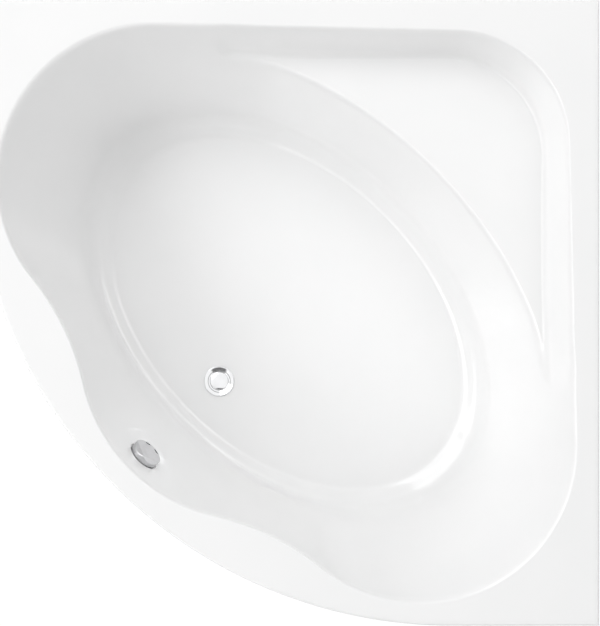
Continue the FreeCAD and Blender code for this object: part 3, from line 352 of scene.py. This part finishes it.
def bump(tree, height, distance, strength=1.0):
    return add(tree, "ShaderNodeBump", {}, {"Height": height, "Distance": distance, "Strength": strength})


def material(name, **constants):
    """A new material with a Principled shader; returns the material, its tree and the shader."""
    made = bpy.data.materials.new(name)
    made.use_nodes = True
    shader = made.node_tree.nodes["Principled BSDF"]
    for key, value in constants.items():
        shader.inputs[key.replace("_", " ")].default_value = value
    return made, made.node_tree, shader


def feed(tree, shader, **links):
    for key, value in links.items():
        tree.links.new(value.out, shader.inputs[key.replace("_", " ")])


def dress(nodes, made):
    """Puts a material on the slots of CAD pieces whose shape stays."""
    for node in nodes:
        for place in cad[node].material_slots:
            place.material = made


def acrylic(name, tone):
    """Cast acrylic: pooled gloss that varies slowly, a faint orange peel from the mould, and the
    slightest cloud in the white."""
    made, tree, shader = material(name, Coat_Weight=0.6, Coat_Roughness=0.03, IOR=1.49)
    cloud = pattern(tree, "ShaderNodeTexNoise", 5.0, Detail=3.0)
    peel = pattern(tree, "ShaderNodeTexNoise", 130.0, Detail=2.0)
    dull = pattern(tree, "ShaderNodeTexNoise", 16.0, Detail=5.0, Roughness=0.6)
    feed(tree, shader, Base_Color=mix(tree, cloud.within(0.35, 0.7), (tone, tone, tone, 1),
                                      (tone - 0.012, tone - 0.010, tone - 0.010, 1)),
         Roughness=0.10 + dull * 0.10, Normal=bump(tree, peel, 0.00012, 0.35))
    return made


shell.data.materials.append(acrylic("shell_acrylic", 0.90))
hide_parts("tub_shell")
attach(shell, "bath")

# ---- Base board
# Raw chipboard, 15 mm, laminated under the floor so that it carries the weight evenly. It is open
# towards the front round the waste.


def chipboard(name):
    """Pressed wood chips: flat flakes in several browns, with dark gaps between them."""
    made, tree, shader = material(name, Specular_IOR_Level=0.2)
    flakes = pattern(tree, "ShaderNodeTexVoronoi", 260.0, (1.0, 0.45, 1.6), Randomness=1.0)
    tint = pattern(tree, "ShaderNodeTexVoronoi", 260.0, (1.0, 0.45, 1.6), out="Color", Randomness=1.0)
    tint = add(tree, "ShaderNodeSeparateColor", {}, {0: tint}, 0)
    dust = pattern(tree, "ShaderNodeTexNoise", 900.0, Detail=2.0)
    tone = mix(tree, tint, (0.36, 0.24, 0.13, 1), (0.62, 0.46, 0.28, 1))
    feed(tree, shader, Base_Color=mix(tree, flakes.within(0.35, 0.75), tone, (0.22, 0.14, 0.08, 1)),
         Roughness=0.72 + dust * 0.2, Normal=bump(tree, dust * 0.3 - flakes, 0.0006, 0.6))
    return made


dress(["base_board"], chipboard("base_chipboard"))

# ---- Support frame
# Three galvanised square tubes screwed up against the board, two across the bath and one towards
# the wall corner. Black plugs close their ends; the screws are zinc plated.


def galvanised(name):
    """Hot-dipped zinc: grey spangles that differ in tone and gloss, with a slightly uneven skin."""
    made, tree, shader = material(name, Metallic=0.85)
    spangle = pattern(tree, "ShaderNodeTexVoronoi", 85.0, out="Color", Randomness=1.0)
    spangle = add(tree, "ShaderNodeSeparateColor", {}, {0: spangle}, 0)
    skin = pattern(tree, "ShaderNodeTexNoise", 60.0, Detail=4.0)
    feed(tree, shader, Base_Color=mix(tree, spangle, (0.40, 0.42, 0.43, 1), (0.60, 0.62, 0.63, 1)),
         Roughness=0.36 + spangle * 0.16 + skin * 0.1, Normal=bump(tree, skin, 0.0002, 0.5))
    return made


def moulded(name, dark, light, rough, grain=700.0):
    """Injection-moulded plastic or rubber: fine surface grain, tone drifting slightly over the piece."""
    made, tree, shader = material(name, IOR=1.48)
    drift = pattern(tree, "ShaderNodeTexNoise", 22.0, Detail=3.0)
    fine = pattern(tree, "ShaderNodeTexNoise", grain, Detail=2.0)
    feed(tree, shader, Base_Color=mix(tree, drift.within(0.3, 0.7), dark, light),
         Roughness=rough + drift * 0.12, Normal=bump(tree, fine, 0.00008, 0.5))
    return made


def plated(name, tone, rough, brush=(1, 1, 1)):
    """Bare or plated metal: faint marks that run along the brushing, or all ways when it has none."""
    made, tree, shader = material(name, Metallic=1.0)
    marks = pattern(tree, "ShaderNodeTexNoise", 420.0, brush, Detail=3.0)
    haze = pattern(tree, "ShaderNodeTexNoise", 35.0, Detail=3.0)
    darker = tuple(value * 0.93 for value in tone)
    feed(tree, shader, Base_Color=mix(tree, haze.within(0.3, 0.7), (*darker, 1), (*tone, 1)),
         Roughness=rough + marks * 0.12, Normal=bump(tree, marks, 0.00004, 0.5))
    return made


steel_tube = galvanised("galvanised_tube")
black_plastic = moulded("black_polypropylene", (0.018, 0.018, 0.018, 1), (0.032, 0.032, 0.034, 1), 0.42)
zinc = plated("zinc_plating", (0.62, 0.63, 0.66), 0.26)
dress(["front_bar", "rear_bar", "corner_bar"], steel_tube)
dress(["bar_end_caps"], black_plastic)
dress(["frame_screws"], zinc)

# ---- Levelling feet
# Five zinc-plated M12 spindles turn in nuts welded under the bars and are locked by a second nut.
# Each has a hexagon for the spanner and stands loosely in the socket of a black plastic pad.

thread_pitch, thread_radius, thread_depth, thread_row = 0.00175, 0.006, 0.0009, 0.00025
rod_low, rod_high, rod_chamfer, chamfer_share = 0.0062, 0.1698, 0.0002, 0.85
hex_low, hex_high, hex_flat = 0.030, 0.038, 0.0085


def spindle_mesh():
    """A rod whose radius follows a triangle wave along a helix; between two heights it becomes a
    hexagon: half the width across flats over the cosine of the angle from the nearest flat."""
    angle = np.linspace(0, 2 * math.pi, 36, endpoint=False)
    below = np.arange(rod_low, hex_low, thread_row)
    above = np.arange(hex_high + thread_row, rod_high, thread_row)
    height = np.concatenate([below, [hex_low, hex_low, hex_high, hex_high], above])[:, None]
    wave = np.abs((height / thread_pitch - angle / (2 * math.pi)) % 1 * 2 - 1)
    radius = thread_radius - thread_depth * wave
    flat = hex_flat / np.cos((angle + math.pi / 6) % (math.pi / 3) - math.pi / 6)
    radius[len(below) + 1:len(below) + 3] = flat
    rows = np.stack(np.broadcast_arrays(radius * np.cos(angle + math.pi / 4),
                                        radius * np.sin(angle + math.pi / 4), height), -1)
    ends = [np.broadcast_to([0, 0, z], (1, len(angle), 3))
            for z in (rod_low - rod_chamfer, rod_high + rod_chamfer)]
    narrow, rise = [chamfer_share, chamfer_share, 1], [0, 0, rod_chamfer]
    caps = [rows[:1] * narrow - rise, rows[-1:] * narrow + rise]
    return closed_grid(np.concatenate([ends[0], caps[0], rows, caps[1], ends[1]]), "spindle")


def rounded(corners, steps=5):
    """A line through (radius, height, rounding) corners: each corner is replaced by a parabola that
    starts and ends the rounding's length away, with one more point beyond it on either side."""
    points = np.array([corner[:2] for corner in corners], float)
    line = [points[:1]]
    for before, corner, after, size in zip(points, points[1:], points[2:], [c[2] for c in corners[1:]]):
        ways = [(other - corner) / np.hypot(*(other - corner)) for other in (before, after)]
        t = np.linspace(0, 1, steps)[:, None]
        curve = corner + size * ((1 - t) ** 2 * ways[0] + t ** 2 * ways[1])
        near = [corner + 1.3 * size * way for way in ways]
        line.append(np.vstack([near[:1], curve, near[1:]]) if size else corner[None, :])
    return np.vstack(line + [points[-1:]])


# The pad's half section: a round foot, its slope, and the wall of the socket that the spindle stands in.
pad_line = rounded([(0, 0, 0), (0.028, 0, 0.0018), (0.028, 0.006, 0.0015), (0.015, 0.009, 0.003),
                    (0.012, 0.012, 0.002), (0.012, 0.029, 0.0008), (0.00605, 0.029, 0.0006),
                    (0.00605, 0.006, 0), (0, 0.006, 0)])
dress(["weld_nuts", "lock_nuts"], zinc)
for number in range(1, 6):
    place = middle_of("foot_pad_%d" % number)
    spindle = piece_from(spindle_mesh(), "spindle_%d" % number, 50)
    pad = piece_from(turned_solid(pad_line, (0, 0, 0), (0, 0, 1), 72, "pad"), "pad_%d" % number)
    for piece, node, slot, finish in ((spindle, "foot_spindle_%d", "zinc", zinc),
                                      (pad, "foot_pad_%d", "black_plastic", black_plastic)):
        piece.data.transform(Matrix.Translation(place))
        piece.data.materials.append(finish)
        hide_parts(node % number)
        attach(piece, "foot_%d" % number)

# ---- Front posts and panel
# Sawn timber blocks are bonded under the rim; a galvanised post hangs from each, held by two screws.
# The acrylic panel is sprung in behind the turned-down lip and screwed to the posts' feet.


def softwood(name):
    """Sawn softwood: growth rings as bands bent by noise, with coarse saw marks across them."""
    made, tree, shader = material(name, Specular_IOR_Level=0.25)
    rings = pattern(tree, "ShaderNodeTexWave", 55.0, (1, 1, 0.35), {"wave_type": "BANDS"},
                    Distortion=4.0, Detail=3.0)
    saw = pattern(tree, "ShaderNodeTexNoise", 260.0, (0.2, 1, 3), Detail=3.0)
    feed(tree, shader, Base_Color=mix(tree, rings, (0.66, 0.47, 0.27, 1), (0.46, 0.29, 0.14, 1)),
         Roughness=0.62 + saw * 0.25, Normal=bump(tree, saw + rings * 0.4, 0.0005, 0.6))
    return made


dress(["rim_block_%d" % k for k in range(1, 5)], softwood("block_softwood"))
dress(["panel_post_%d" % k for k in range(1, 5)], steel_tube)
dress(["post_screws", "panel_screws"], zinc)

panel_inset, panel_inner, panel_foot = 0.0055, 0.0090, 0.0250
panel_low, panel_high, panel_end, cap_height = 0.022, 0.5745, 0.6945, 0.0240
side_count, arc_count = 40, 150
arc_middle = front_arc - half_side
panel_return = panel_low + panel_inner - panel_inset
panel_line = rounded([(panel_inner, 0.3, 0), (panel_inner, panel_high, 0.0010),
                      (panel_inset, panel_high, 0.0015), (panel_inset, panel_low, 0.0030),
                      (panel_foot, panel_low, 0.0012), (panel_foot, panel_return, 0.0012),
                      (panel_inner, panel_return, 0.0015), (panel_inner, 0.28, 0)])


def front_sweep(line, name):
    """A section of (inset, height) points carried along the free sides and the curved front: straight,
    quarter arc, straight. Each inset is measured from the bath's outline."""
    straight = np.linspace(panel_end, arc_middle, side_count)
    level = np.full(side_count, arc_middle)
    turn = np.linspace(1.5 * math.pi, math.pi, arc_count)[1:-1]
    anchor = np.vstack([np.stack([straight, level], 1), np.full((len(turn), 2), arc_middle),
                        np.stack([level, straight[::-1]], 1)])
    way = np.vstack([np.tile([0, -1], (side_count, 1)), np.stack([np.cos(turn), np.sin(turn)], 1),
                     np.tile([-1, 0], (side_count, 1))])
    plan = anchor[:, None] + way[:, None] * (front_arc - line[None, :, :1])
    rows = np.concatenate([plan, np.broadcast_to(line[None, :, 1:], plan.shape[:2] + (1,))], -1)
    cap_inset = (panel_inset + panel_inner) / 2
    ends = [np.append(anchor[k] + way[k] * (front_arc - cap_inset), cap_height) for k in (0, -1)]
    ends = [np.broadcast_to(point, (1,) + rows.shape[1:]) for point in ends]
    return closed_grid(np.concatenate([ends[0], rows, ends[1]]), name)


panel = piece_from(front_sweep(panel_line, "curved_panel"), "curved_panel")
screw_turns, screw_height = (-27.609, -9.860, 9.860, 27.609), 0.062
screw_hole, hole_inset, hole_length = 0.0021, 0.015, 0.020
for turn in screw_turns:
    way = math.radians(225 + turn)
    out = np.array([math.cos(way), math.sin(way), 0])
    start = np.array([arc_middle, arc_middle, screw_height]) + out * (front_arc - hole_inset)
    carve(panel, turned_solid([(0, 0), (screw_hole, 0), (screw_hole, hole_length), (0, hole_length)],
                              start, out, 24, "tool"), "DIFFERENCE")
panel.data.materials.append(acrylic("panel_acrylic", 0.88))
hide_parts("front_panel")
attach(panel, "bath")

# ---- Wall fittings
# Bent galvanised hooks that the lip rests in, two on each wall, and a slotted angle at each end of
# the panel. All are screwed to the room's walls.

dress(["wall_hangers", "panel_angle_right", "panel_angle_left"], steel_tube)

# ---- Waste
# A dished chrome-plated brass flange is screwed down into a white polypropylene pot, with rubber
# seals over and under the floor. The plug's cap is chrome; its stem and the lever are stainless.

rubber = moulded("black_rubber", (0.020, 0.020, 0.020, 1), (0.038, 0.037, 0.036, 1), 0.60, 300.0)
white_plastic = moulded("white_polypropylene", (0.74, 0.74, 0.72, 1), (0.80, 0.80, 0.79, 1), 0.30)
stainless = plated("stainless_steel", (0.56, 0.55, 0.54), 0.22, (1, 1, 0.06))
chrome = plated("chrome_plating", (0.93, 0.935, 0.945), 0.04)


def loop_grid(points, name):
    """A closed skin from a grid of points whose rows and columns both wrap round, like a ring."""
    rows, columns = points.shape[:2]
    index = np.arange(rows * columns).reshape(rows, columns)
    below, beside = np.roll(index, -1, 0), np.roll(index, -1, 1)
    quads = np.stack([index, below, np.roll(below, -1, 1), beside], -1).reshape(-1, 4)
    return closed_skin(points.reshape(-1, 3), quads.tolist(), name)


def turned_ring(profile, base, count, name):
    """A closed line of (radius, height) points carried round an upright axis that it doesn't touch."""
    angle = np.linspace(0, 2 * math.pi, count, endpoint=False)
    rows = np.stack(np.broadcast_arrays(profile[:, :1] * np.cos(angle), profile[:, :1] * np.sin(angle),
                                        profile[:, 1:]), -1)
    return loop_grid(rows + np.array(base), name)


def cross_mesh():
    """The cross that guides the stem: its outline is the greater of the hub's radius and half a
    spoke's width over the sine of the angle from the spoke's middle, held to the spokes' reach."""
    bore, hub, spoke, spoke_half, low, high = 0.00305, 0.006, 0.0223, 0.0015, 0.148, 0.153
    angle = np.linspace(0, 2 * math.pi, 160, endpoint=False)
    apart = np.abs((angle + math.pi / 4) % (math.pi / 2) - math.pi / 4)
    outer = np.clip(spoke_half / np.maximum(np.sin(apart), 0.01), hub, spoke)
    turned = angle + math.pi / 4
    rows = [np.stack(np.broadcast_arrays(reach * np.cos(turned), reach * np.sin(turned), height), -1)
            for reach, height in ((bore, low), (outer, low), (outer, high), (bore, high))]
    return loop_grid(np.stack(rows) + waste, "waste_cross")


# The flange's section: bore, dish that rises evenly to the outer edge, underside, and the sleeve below.
flange_line = rounded([(0.0210, 0.1530, 0), (0.0195, 0.1530, 0.0004), (0.0195, 0.1575, 0.0006),
                       (0.0222, 0.1597, 0.0008), (0.0339, 0.1629, 0.0010), (0.0360, 0.1629, 0.0008),
                       (0.0360, 0.1610, 0.0003), (0.0255, 0.1610, 0.0003), (0.0255, 0.1350, 0.0006),
                       (0.0225, 0.1350, 0.0006), (0.0225, 0.1530, 0), (0.0220, 0.1530, 0)])
flange = piece_from(turned_ring(flange_line, waste, 160, "waste_dish"), "waste_dish")
cross = piece_from(cross_mesh(), "stem_cross")
for piece, node, slot, finish in ((flange, "waste_flange", "chrome", chrome),
                                  (cross, "waste_cross", "stainless", stainless)):
    piece.data.materials.append(finish)
    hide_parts(node)
    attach(piece, "bath")

# The plug's cap is turned: its top falls with the square of the distance from the middle.
cap_side, cap_low, cap_top, cap_fall = 0.0215, 0.1600, 0.1645, 0.0030
dome = np.linspace(0.0208, 0, 26)[:, None]
dome = np.hstack([dome, cap_top - cap_fall * (dome / cap_side) ** 2])
edge = rounded([(0, cap_low, 0), (cap_side, cap_low, 0.0004), (cap_side, 0.1616, 0.0005),
                (0.0210, 0.16168, 0)])
cap = piece_from(turned_solid(np.vstack([edge, dome]), waste, (0, 0, 1), 128, "plug_dome"), "plug_dome")
cap.data.materials.append(chrome)
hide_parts("plug_cap")
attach(cap, "plug")

dress(["flange_seal", "body_seal", "plug_seal"], rubber)
dress(["waste_body", "cable_crank"], white_plastic)
dress(["plug_stem", "lift_lever"], stainless)

# ---- Trap
# Moulded white polypropylene: a lid with the outlet's stub, a screwed-on cup for cleaning, union
# nuts with grip ribs and a 40 mm waste pipe. A rubber ring seals the cup.

dress(["trap_nut", "trap_lid", "trap_cup", "outlet_nut", "outlet_pipe"], white_plastic)
dress(["trap_seal"], rubber)

# ---- Overflow
# A plastic elbow behind the wall is clamped to a plastic ring by two stainless screws. The satin
# chrome knob on its steel shaft hides them; two flats meet in a ridge, and two slots let water in.

knob_low, knob_top, knob_side, knob_edge, socket_top = 0.0036, 0.0226, 0.035, 0.0018, 0.0168
ridge_start, ridge_angle, bevel_slope = 0.033, math.radians(48), math.tan(math.radians(30))
ridge_soft = 0.0022
knob_across = np.array([-1, 1, 0]) / root2
knob_down = np.cross(knob_across, knob_axis)


def on_knob(points):
    """Local places (down the wall, across it, out of it) moved to the knob's seat."""
    down, across, out = points[..., :1], points[..., 1:2], points[..., 2:]
    return knob_seat + down * knob_down + across * knob_across + out * knob_axis


def knob_mesh():
    """A disc whose face is flat inside a V and falls at 30 degrees outside it, by the distance from
    the V's lines, with a soft ridge between; its rim is rounded and its underside is hollow."""
    angle = np.linspace(0, 2 * math.pi, 220, endpoint=False)
    reach = np.linspace(0.0004, knob_side - knob_edge, 64)[:, None]
    curl = np.linspace(0, math.pi / 2, 7)[1:, None]
    radius = np.concatenate([reach, knob_side - knob_edge * (1 - np.sin(curl))])
    down, across = radius * np.cos(angle), radius * np.sin(angle)
    beyond = np.abs(across) * math.cos(ridge_angle) - (down + ridge_start) * math.sin(ridge_angle)
    drop = bevel_slope * soft_max(beyond, 0, ridge_soft)
    round_off = np.concatenate([np.zeros_like(reach), knob_edge * (1 - np.cos(curl))])
    face = np.stack(np.broadcast_arrays(down, across, knob_top - drop - round_off), -1)
    line = rounded([(0.0351, 0.0100, 0), (knob_side, 0.0094, 0), (knob_side, knob_low, 0.0006),
                    (0.0325, knob_low, 0.0005), (0.0325, 0.0120, 0.0010), (0.0070, 0.0120, 0.0005),
                    (0.0070, knob_low, 0.0005), (0.0040, knob_low, 0.0002), (0.0040, socket_top, 0)])[1:]
    under = np.stack(np.broadcast_arrays(line[:, :1] * np.cos(angle), line[:, :1] * np.sin(angle),
                                         line[:, 1:]), -1)
    ends = [np.broadcast_to([0, 0, z], (1, len(angle), 3)) for z in (socket_top, knob_top)]
    rows = np.concatenate([ends[0], under[::-1], face[::-1], ends[1]])
    return closed_grid(on_knob(rows), "turning_knob")


def slot_mesh(turn):
    """A rounded slot: a superellipse of order four carried along the knob's axis."""
    place, half_width, half_length, low, high = 0.029, 0.002, 0.0065, 0.0080, 0.0300
    angle = np.linspace(0, 2 * math.pi, 48, endpoint=False)
    shape = (np.cos(angle) ** 4 + np.sin(angle) ** 4) ** -0.25
    down, across = place + half_width * shape * np.cos(angle), half_length * shape * np.sin(angle)
    turned = [down * math.cos(turn) - across * math.sin(turn),
              down * math.sin(turn) + across * math.cos(turn)]
    rows = [np.stack(np.broadcast_arrays(*turned, z), -1) for z in (low, high)]
    middle = [place * math.cos(turn), place * math.sin(turn)]
    ends = [np.broadcast_to([*middle, z], rows[0].shape) for z in (low, high)]
    return closed_grid(on_knob(np.stack([ends[0], *rows, ends[1]])), "tool")


knob = piece_from(knob_mesh(), "turning_knob", 40)
for slot_turn in (-26, 26):
    carve(knob, slot_mesh(math.radians(slot_turn)), "DIFFERENCE")
knob.data.materials.append(plated("satin_chrome", (0.62, 0.62, 0.63), 0.28))
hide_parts("overflow_knob")
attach(knob, "knob")

dress(["overflow_body", "overflow_ring", "cable_drum"], white_plastic)
dress(["overflow_seal"], rubber)
dress(["ring_screws", "knob_shaft"], stainless)

# ---- Overflow hose and control cable
# A corrugated grey hose runs from the elbow to the pot, with smooth cuffs under black band clips.
# The black sheathed cable runs beside it, held by twin clips.

hose_start, hose_end = (-0.491570, 0.442638), (-0.263841, 0.118)
hose_bend, hose_outer, hose_inner, cuff = 0.095, 0.016, 0.014, 0.022
rib_pitch, rib_depth, cuff_fade = 0.0042, 0.0014, 0.002
wall_count, bore_count = 1020, 160


def hose_mesh():
    """A wall carried along straight, quarter arc and straight; outside the cuffs its outer radius
    rises and falls as a cosine of the distance along it, and its bore is plain."""
    drop = hose_start[1] - hose_end[1] - hose_bend
    arc = hose_bend * math.pi / 2
    total = drop + arc + hose_end[0] - hose_start[0] - hose_bend
    angle = np.linspace(0, 2 * math.pi, 40, endpoint=False)
    far = np.linspace(0, total, wall_count)
    rib = 0.5 + 0.5 * np.cos(2 * math.pi * far / rib_pitch)
    plain = np.clip((cuff - np.minimum(far, total - far)) / cuff_fade, 0, 1)
    outer = hose_outer - rib_depth * (1 - np.maximum(rib, plain))
    far = np.concatenate([far, np.linspace(total, 0, bore_count)])
    radius = np.concatenate([outer, np.full(bore_count, hose_inner)])
    turn = np.clip((far - drop) / hose_bend, 0, math.pi / 2)
    along = hose_start[0] + hose_bend * (1 - np.cos(turn)) + np.maximum(far - drop - arc, 0)
    height = hose_start[1] - np.minimum(far, drop) - hose_bend * np.sin(turn)
    out = radius[:, None] * np.cos(angle)
    along = along[:, None] + out * np.cos(turn)[:, None]
    height = height[:, None] + out * np.sin(turn)[:, None]
    side = radius[:, None] * np.sin(angle)
    return loop_grid(np.stack([(along - side) / root2, (along + side) / root2, height], -1), "grey_hose")


hose = piece_from(hose_mesh(), "corrugated_hose", 50)
hose.data.materials.append(moulded("hose_plastic", (0.34, 0.35, 0.36, 1), (0.42, 0.43, 0.44, 1), 0.45))
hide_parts("overflow_hose")
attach(hose, "bath")
dress(["hose_clips", "cable_clips"], black_plastic)
dress(["control_cable"], moulded("cable_sheath", (0.022, 0.022, 0.024, 1), (0.036, 0.036, 0.040, 1),
                                 0.35, 900.0))

# ---- Studio
# The bath stands in a pale studio and is seen from straight above, a little right of its middle,
# from 6 m above its rim. A large key lamp stands to the upper left, and wide weak ones fill the
# walls from all sides. A grey card over the front is mirrored in the waste.

camera_high, camera_right, seen_width, film_width = 6.0, 0.0302, 1.4, 36
camera_data = bpy.data.cameras.new("camera")
camera_data.lens = film_width * camera_high / seen_width
camera_data.clip_end = 50
camera = bpy.data.objects.new("camera", camera_data)
camera.location = (camera_right, 0.0, rim_top + camera_high)
bpy.context.scene.collection.objects.link(camera)
bpy.context.scene.camera = camera
bpy.context.scene.view_settings.view_transform = "Standard"


def lamp(name, place, size, power):
    """A wide soft lamp that looks at the middle of the rim."""
    data = bpy.data.lights.new(name, "AREA")
    data.shape, data.energy = "RECTANGLE", power
    data.size, data.size_y = size
    made = bpy.data.objects.new(name, data)
    made.location = place
    made.rotation_euler = (Vector((0, 0, rim_top)) - Vector(place)).to_track_quat("-Z", "Y").to_euler()
    bpy.context.scene.collection.objects.link(made)


lamp("key", (-5.2, 5.2, 9.0), (7.0, 7.0), 280)
lamp("top", (0.6, 6.3, 8.2), (10.8, 2.2), 55)
lamp("left", (-7.5, -0.5, 7.4), (7.0, 4.0), 205)
lamp("front", (-5.0, -5.0, 7.3), (7.0, 3.5), 170)
lamp("corner", (5.6, 4.2, 6.6), (5.0, 4.0), 100)
world = bpy.data.worlds.new("studio")
world.use_nodes = True
bpy.context.scene.world = world
sky = world.node_tree
seen = add(sky, "ShaderNodeLightPath", {}, {}, "Is Camera Ray")
glossy = add(sky, "ShaderNodeLightPath", {}, {}, "Is Glossy Ray")
through = add(sky, "ShaderNodeLightPath", {}, {}, "Is Transmission Ray")
shown = seen.math("MAXIMUM", seen.math("MAXIMUM", seen, glossy), through)
plain_light = 0.565
strength = 1 - (1 - shown) * (1 - plain_light)
sky.links.new(strength.out, sky.nodes["Background"].inputs["Strength"])
sky.nodes["Background"].inputs["Color"].default_value = (1, 1, 1, 1)


def disc(middle, reach, rows, count, name):
    """A flat ellipse, 20 mm thick, from rings of points: each ring is a share of its reach."""
    angle = np.linspace(0, 2 * math.pi, count, endpoint=False)
    rows = np.array(rows)[:, None]
    high = np.stack(np.broadcast_arrays(reach[0] * rows * np.cos(angle), reach[1] * rows * np.sin(angle),
                                        0), -1) + middle
    low = high - [0, 0, 0.02]
    return piece_from(closed_grid(np.concatenate([low, high[::-1]]), name), name)


def paper(name, dark, light):
    """Matt paint whose tone drifts slowly."""
    made, tree, shader = material(name, Roughness=0.9)
    grain = pattern(tree, "ShaderNodeTexNoise", 3.0, Detail=2.0)
    feed(tree, shader, Base_Color=mix(tree, grain, (dark, dark, dark, 1), (light, light, light, 1)))
    return made, tree, shader


floor_reach, floor_rows = 9.0, np.array([0, 1.0, 2.5, 5.0, 9.0])
studio_floor = disc((0, 0, -0.0005), (floor_reach, floor_reach), floor_rows / floor_reach, 96, "studio_floor")
paint, tree, shader = paper("studio_paint", 0.90, 0.92)

# The camera sees mostly a plain white; the rest is the lit paint, which keeps the bath's shadow.
white_share, white_strength = 0.90, 1.06
glow = add(tree, "ShaderNodeEmission", {}, {"Strength": white_strength})
seen = add(tree, "ShaderNodeLightPath", {}, {}, "Is Camera Ray")
both = add(tree, "ShaderNodeMixShader", {},
           {0: seen * white_share, 1: Value(tree, shader.outputs[0]), 2: glow})
tree.links.new(both.out, tree.nodes["Material Output"].inputs["Surface"])
studio_floor.data.materials.append(paint)

card = disc((-0.163, -1.74, 2.78), (1.65, 0.30), np.linspace(0, 1, 9), 64, "dark_card")
card.data.materials.append(paper("card_paint", 0.16, 0.18)[0])
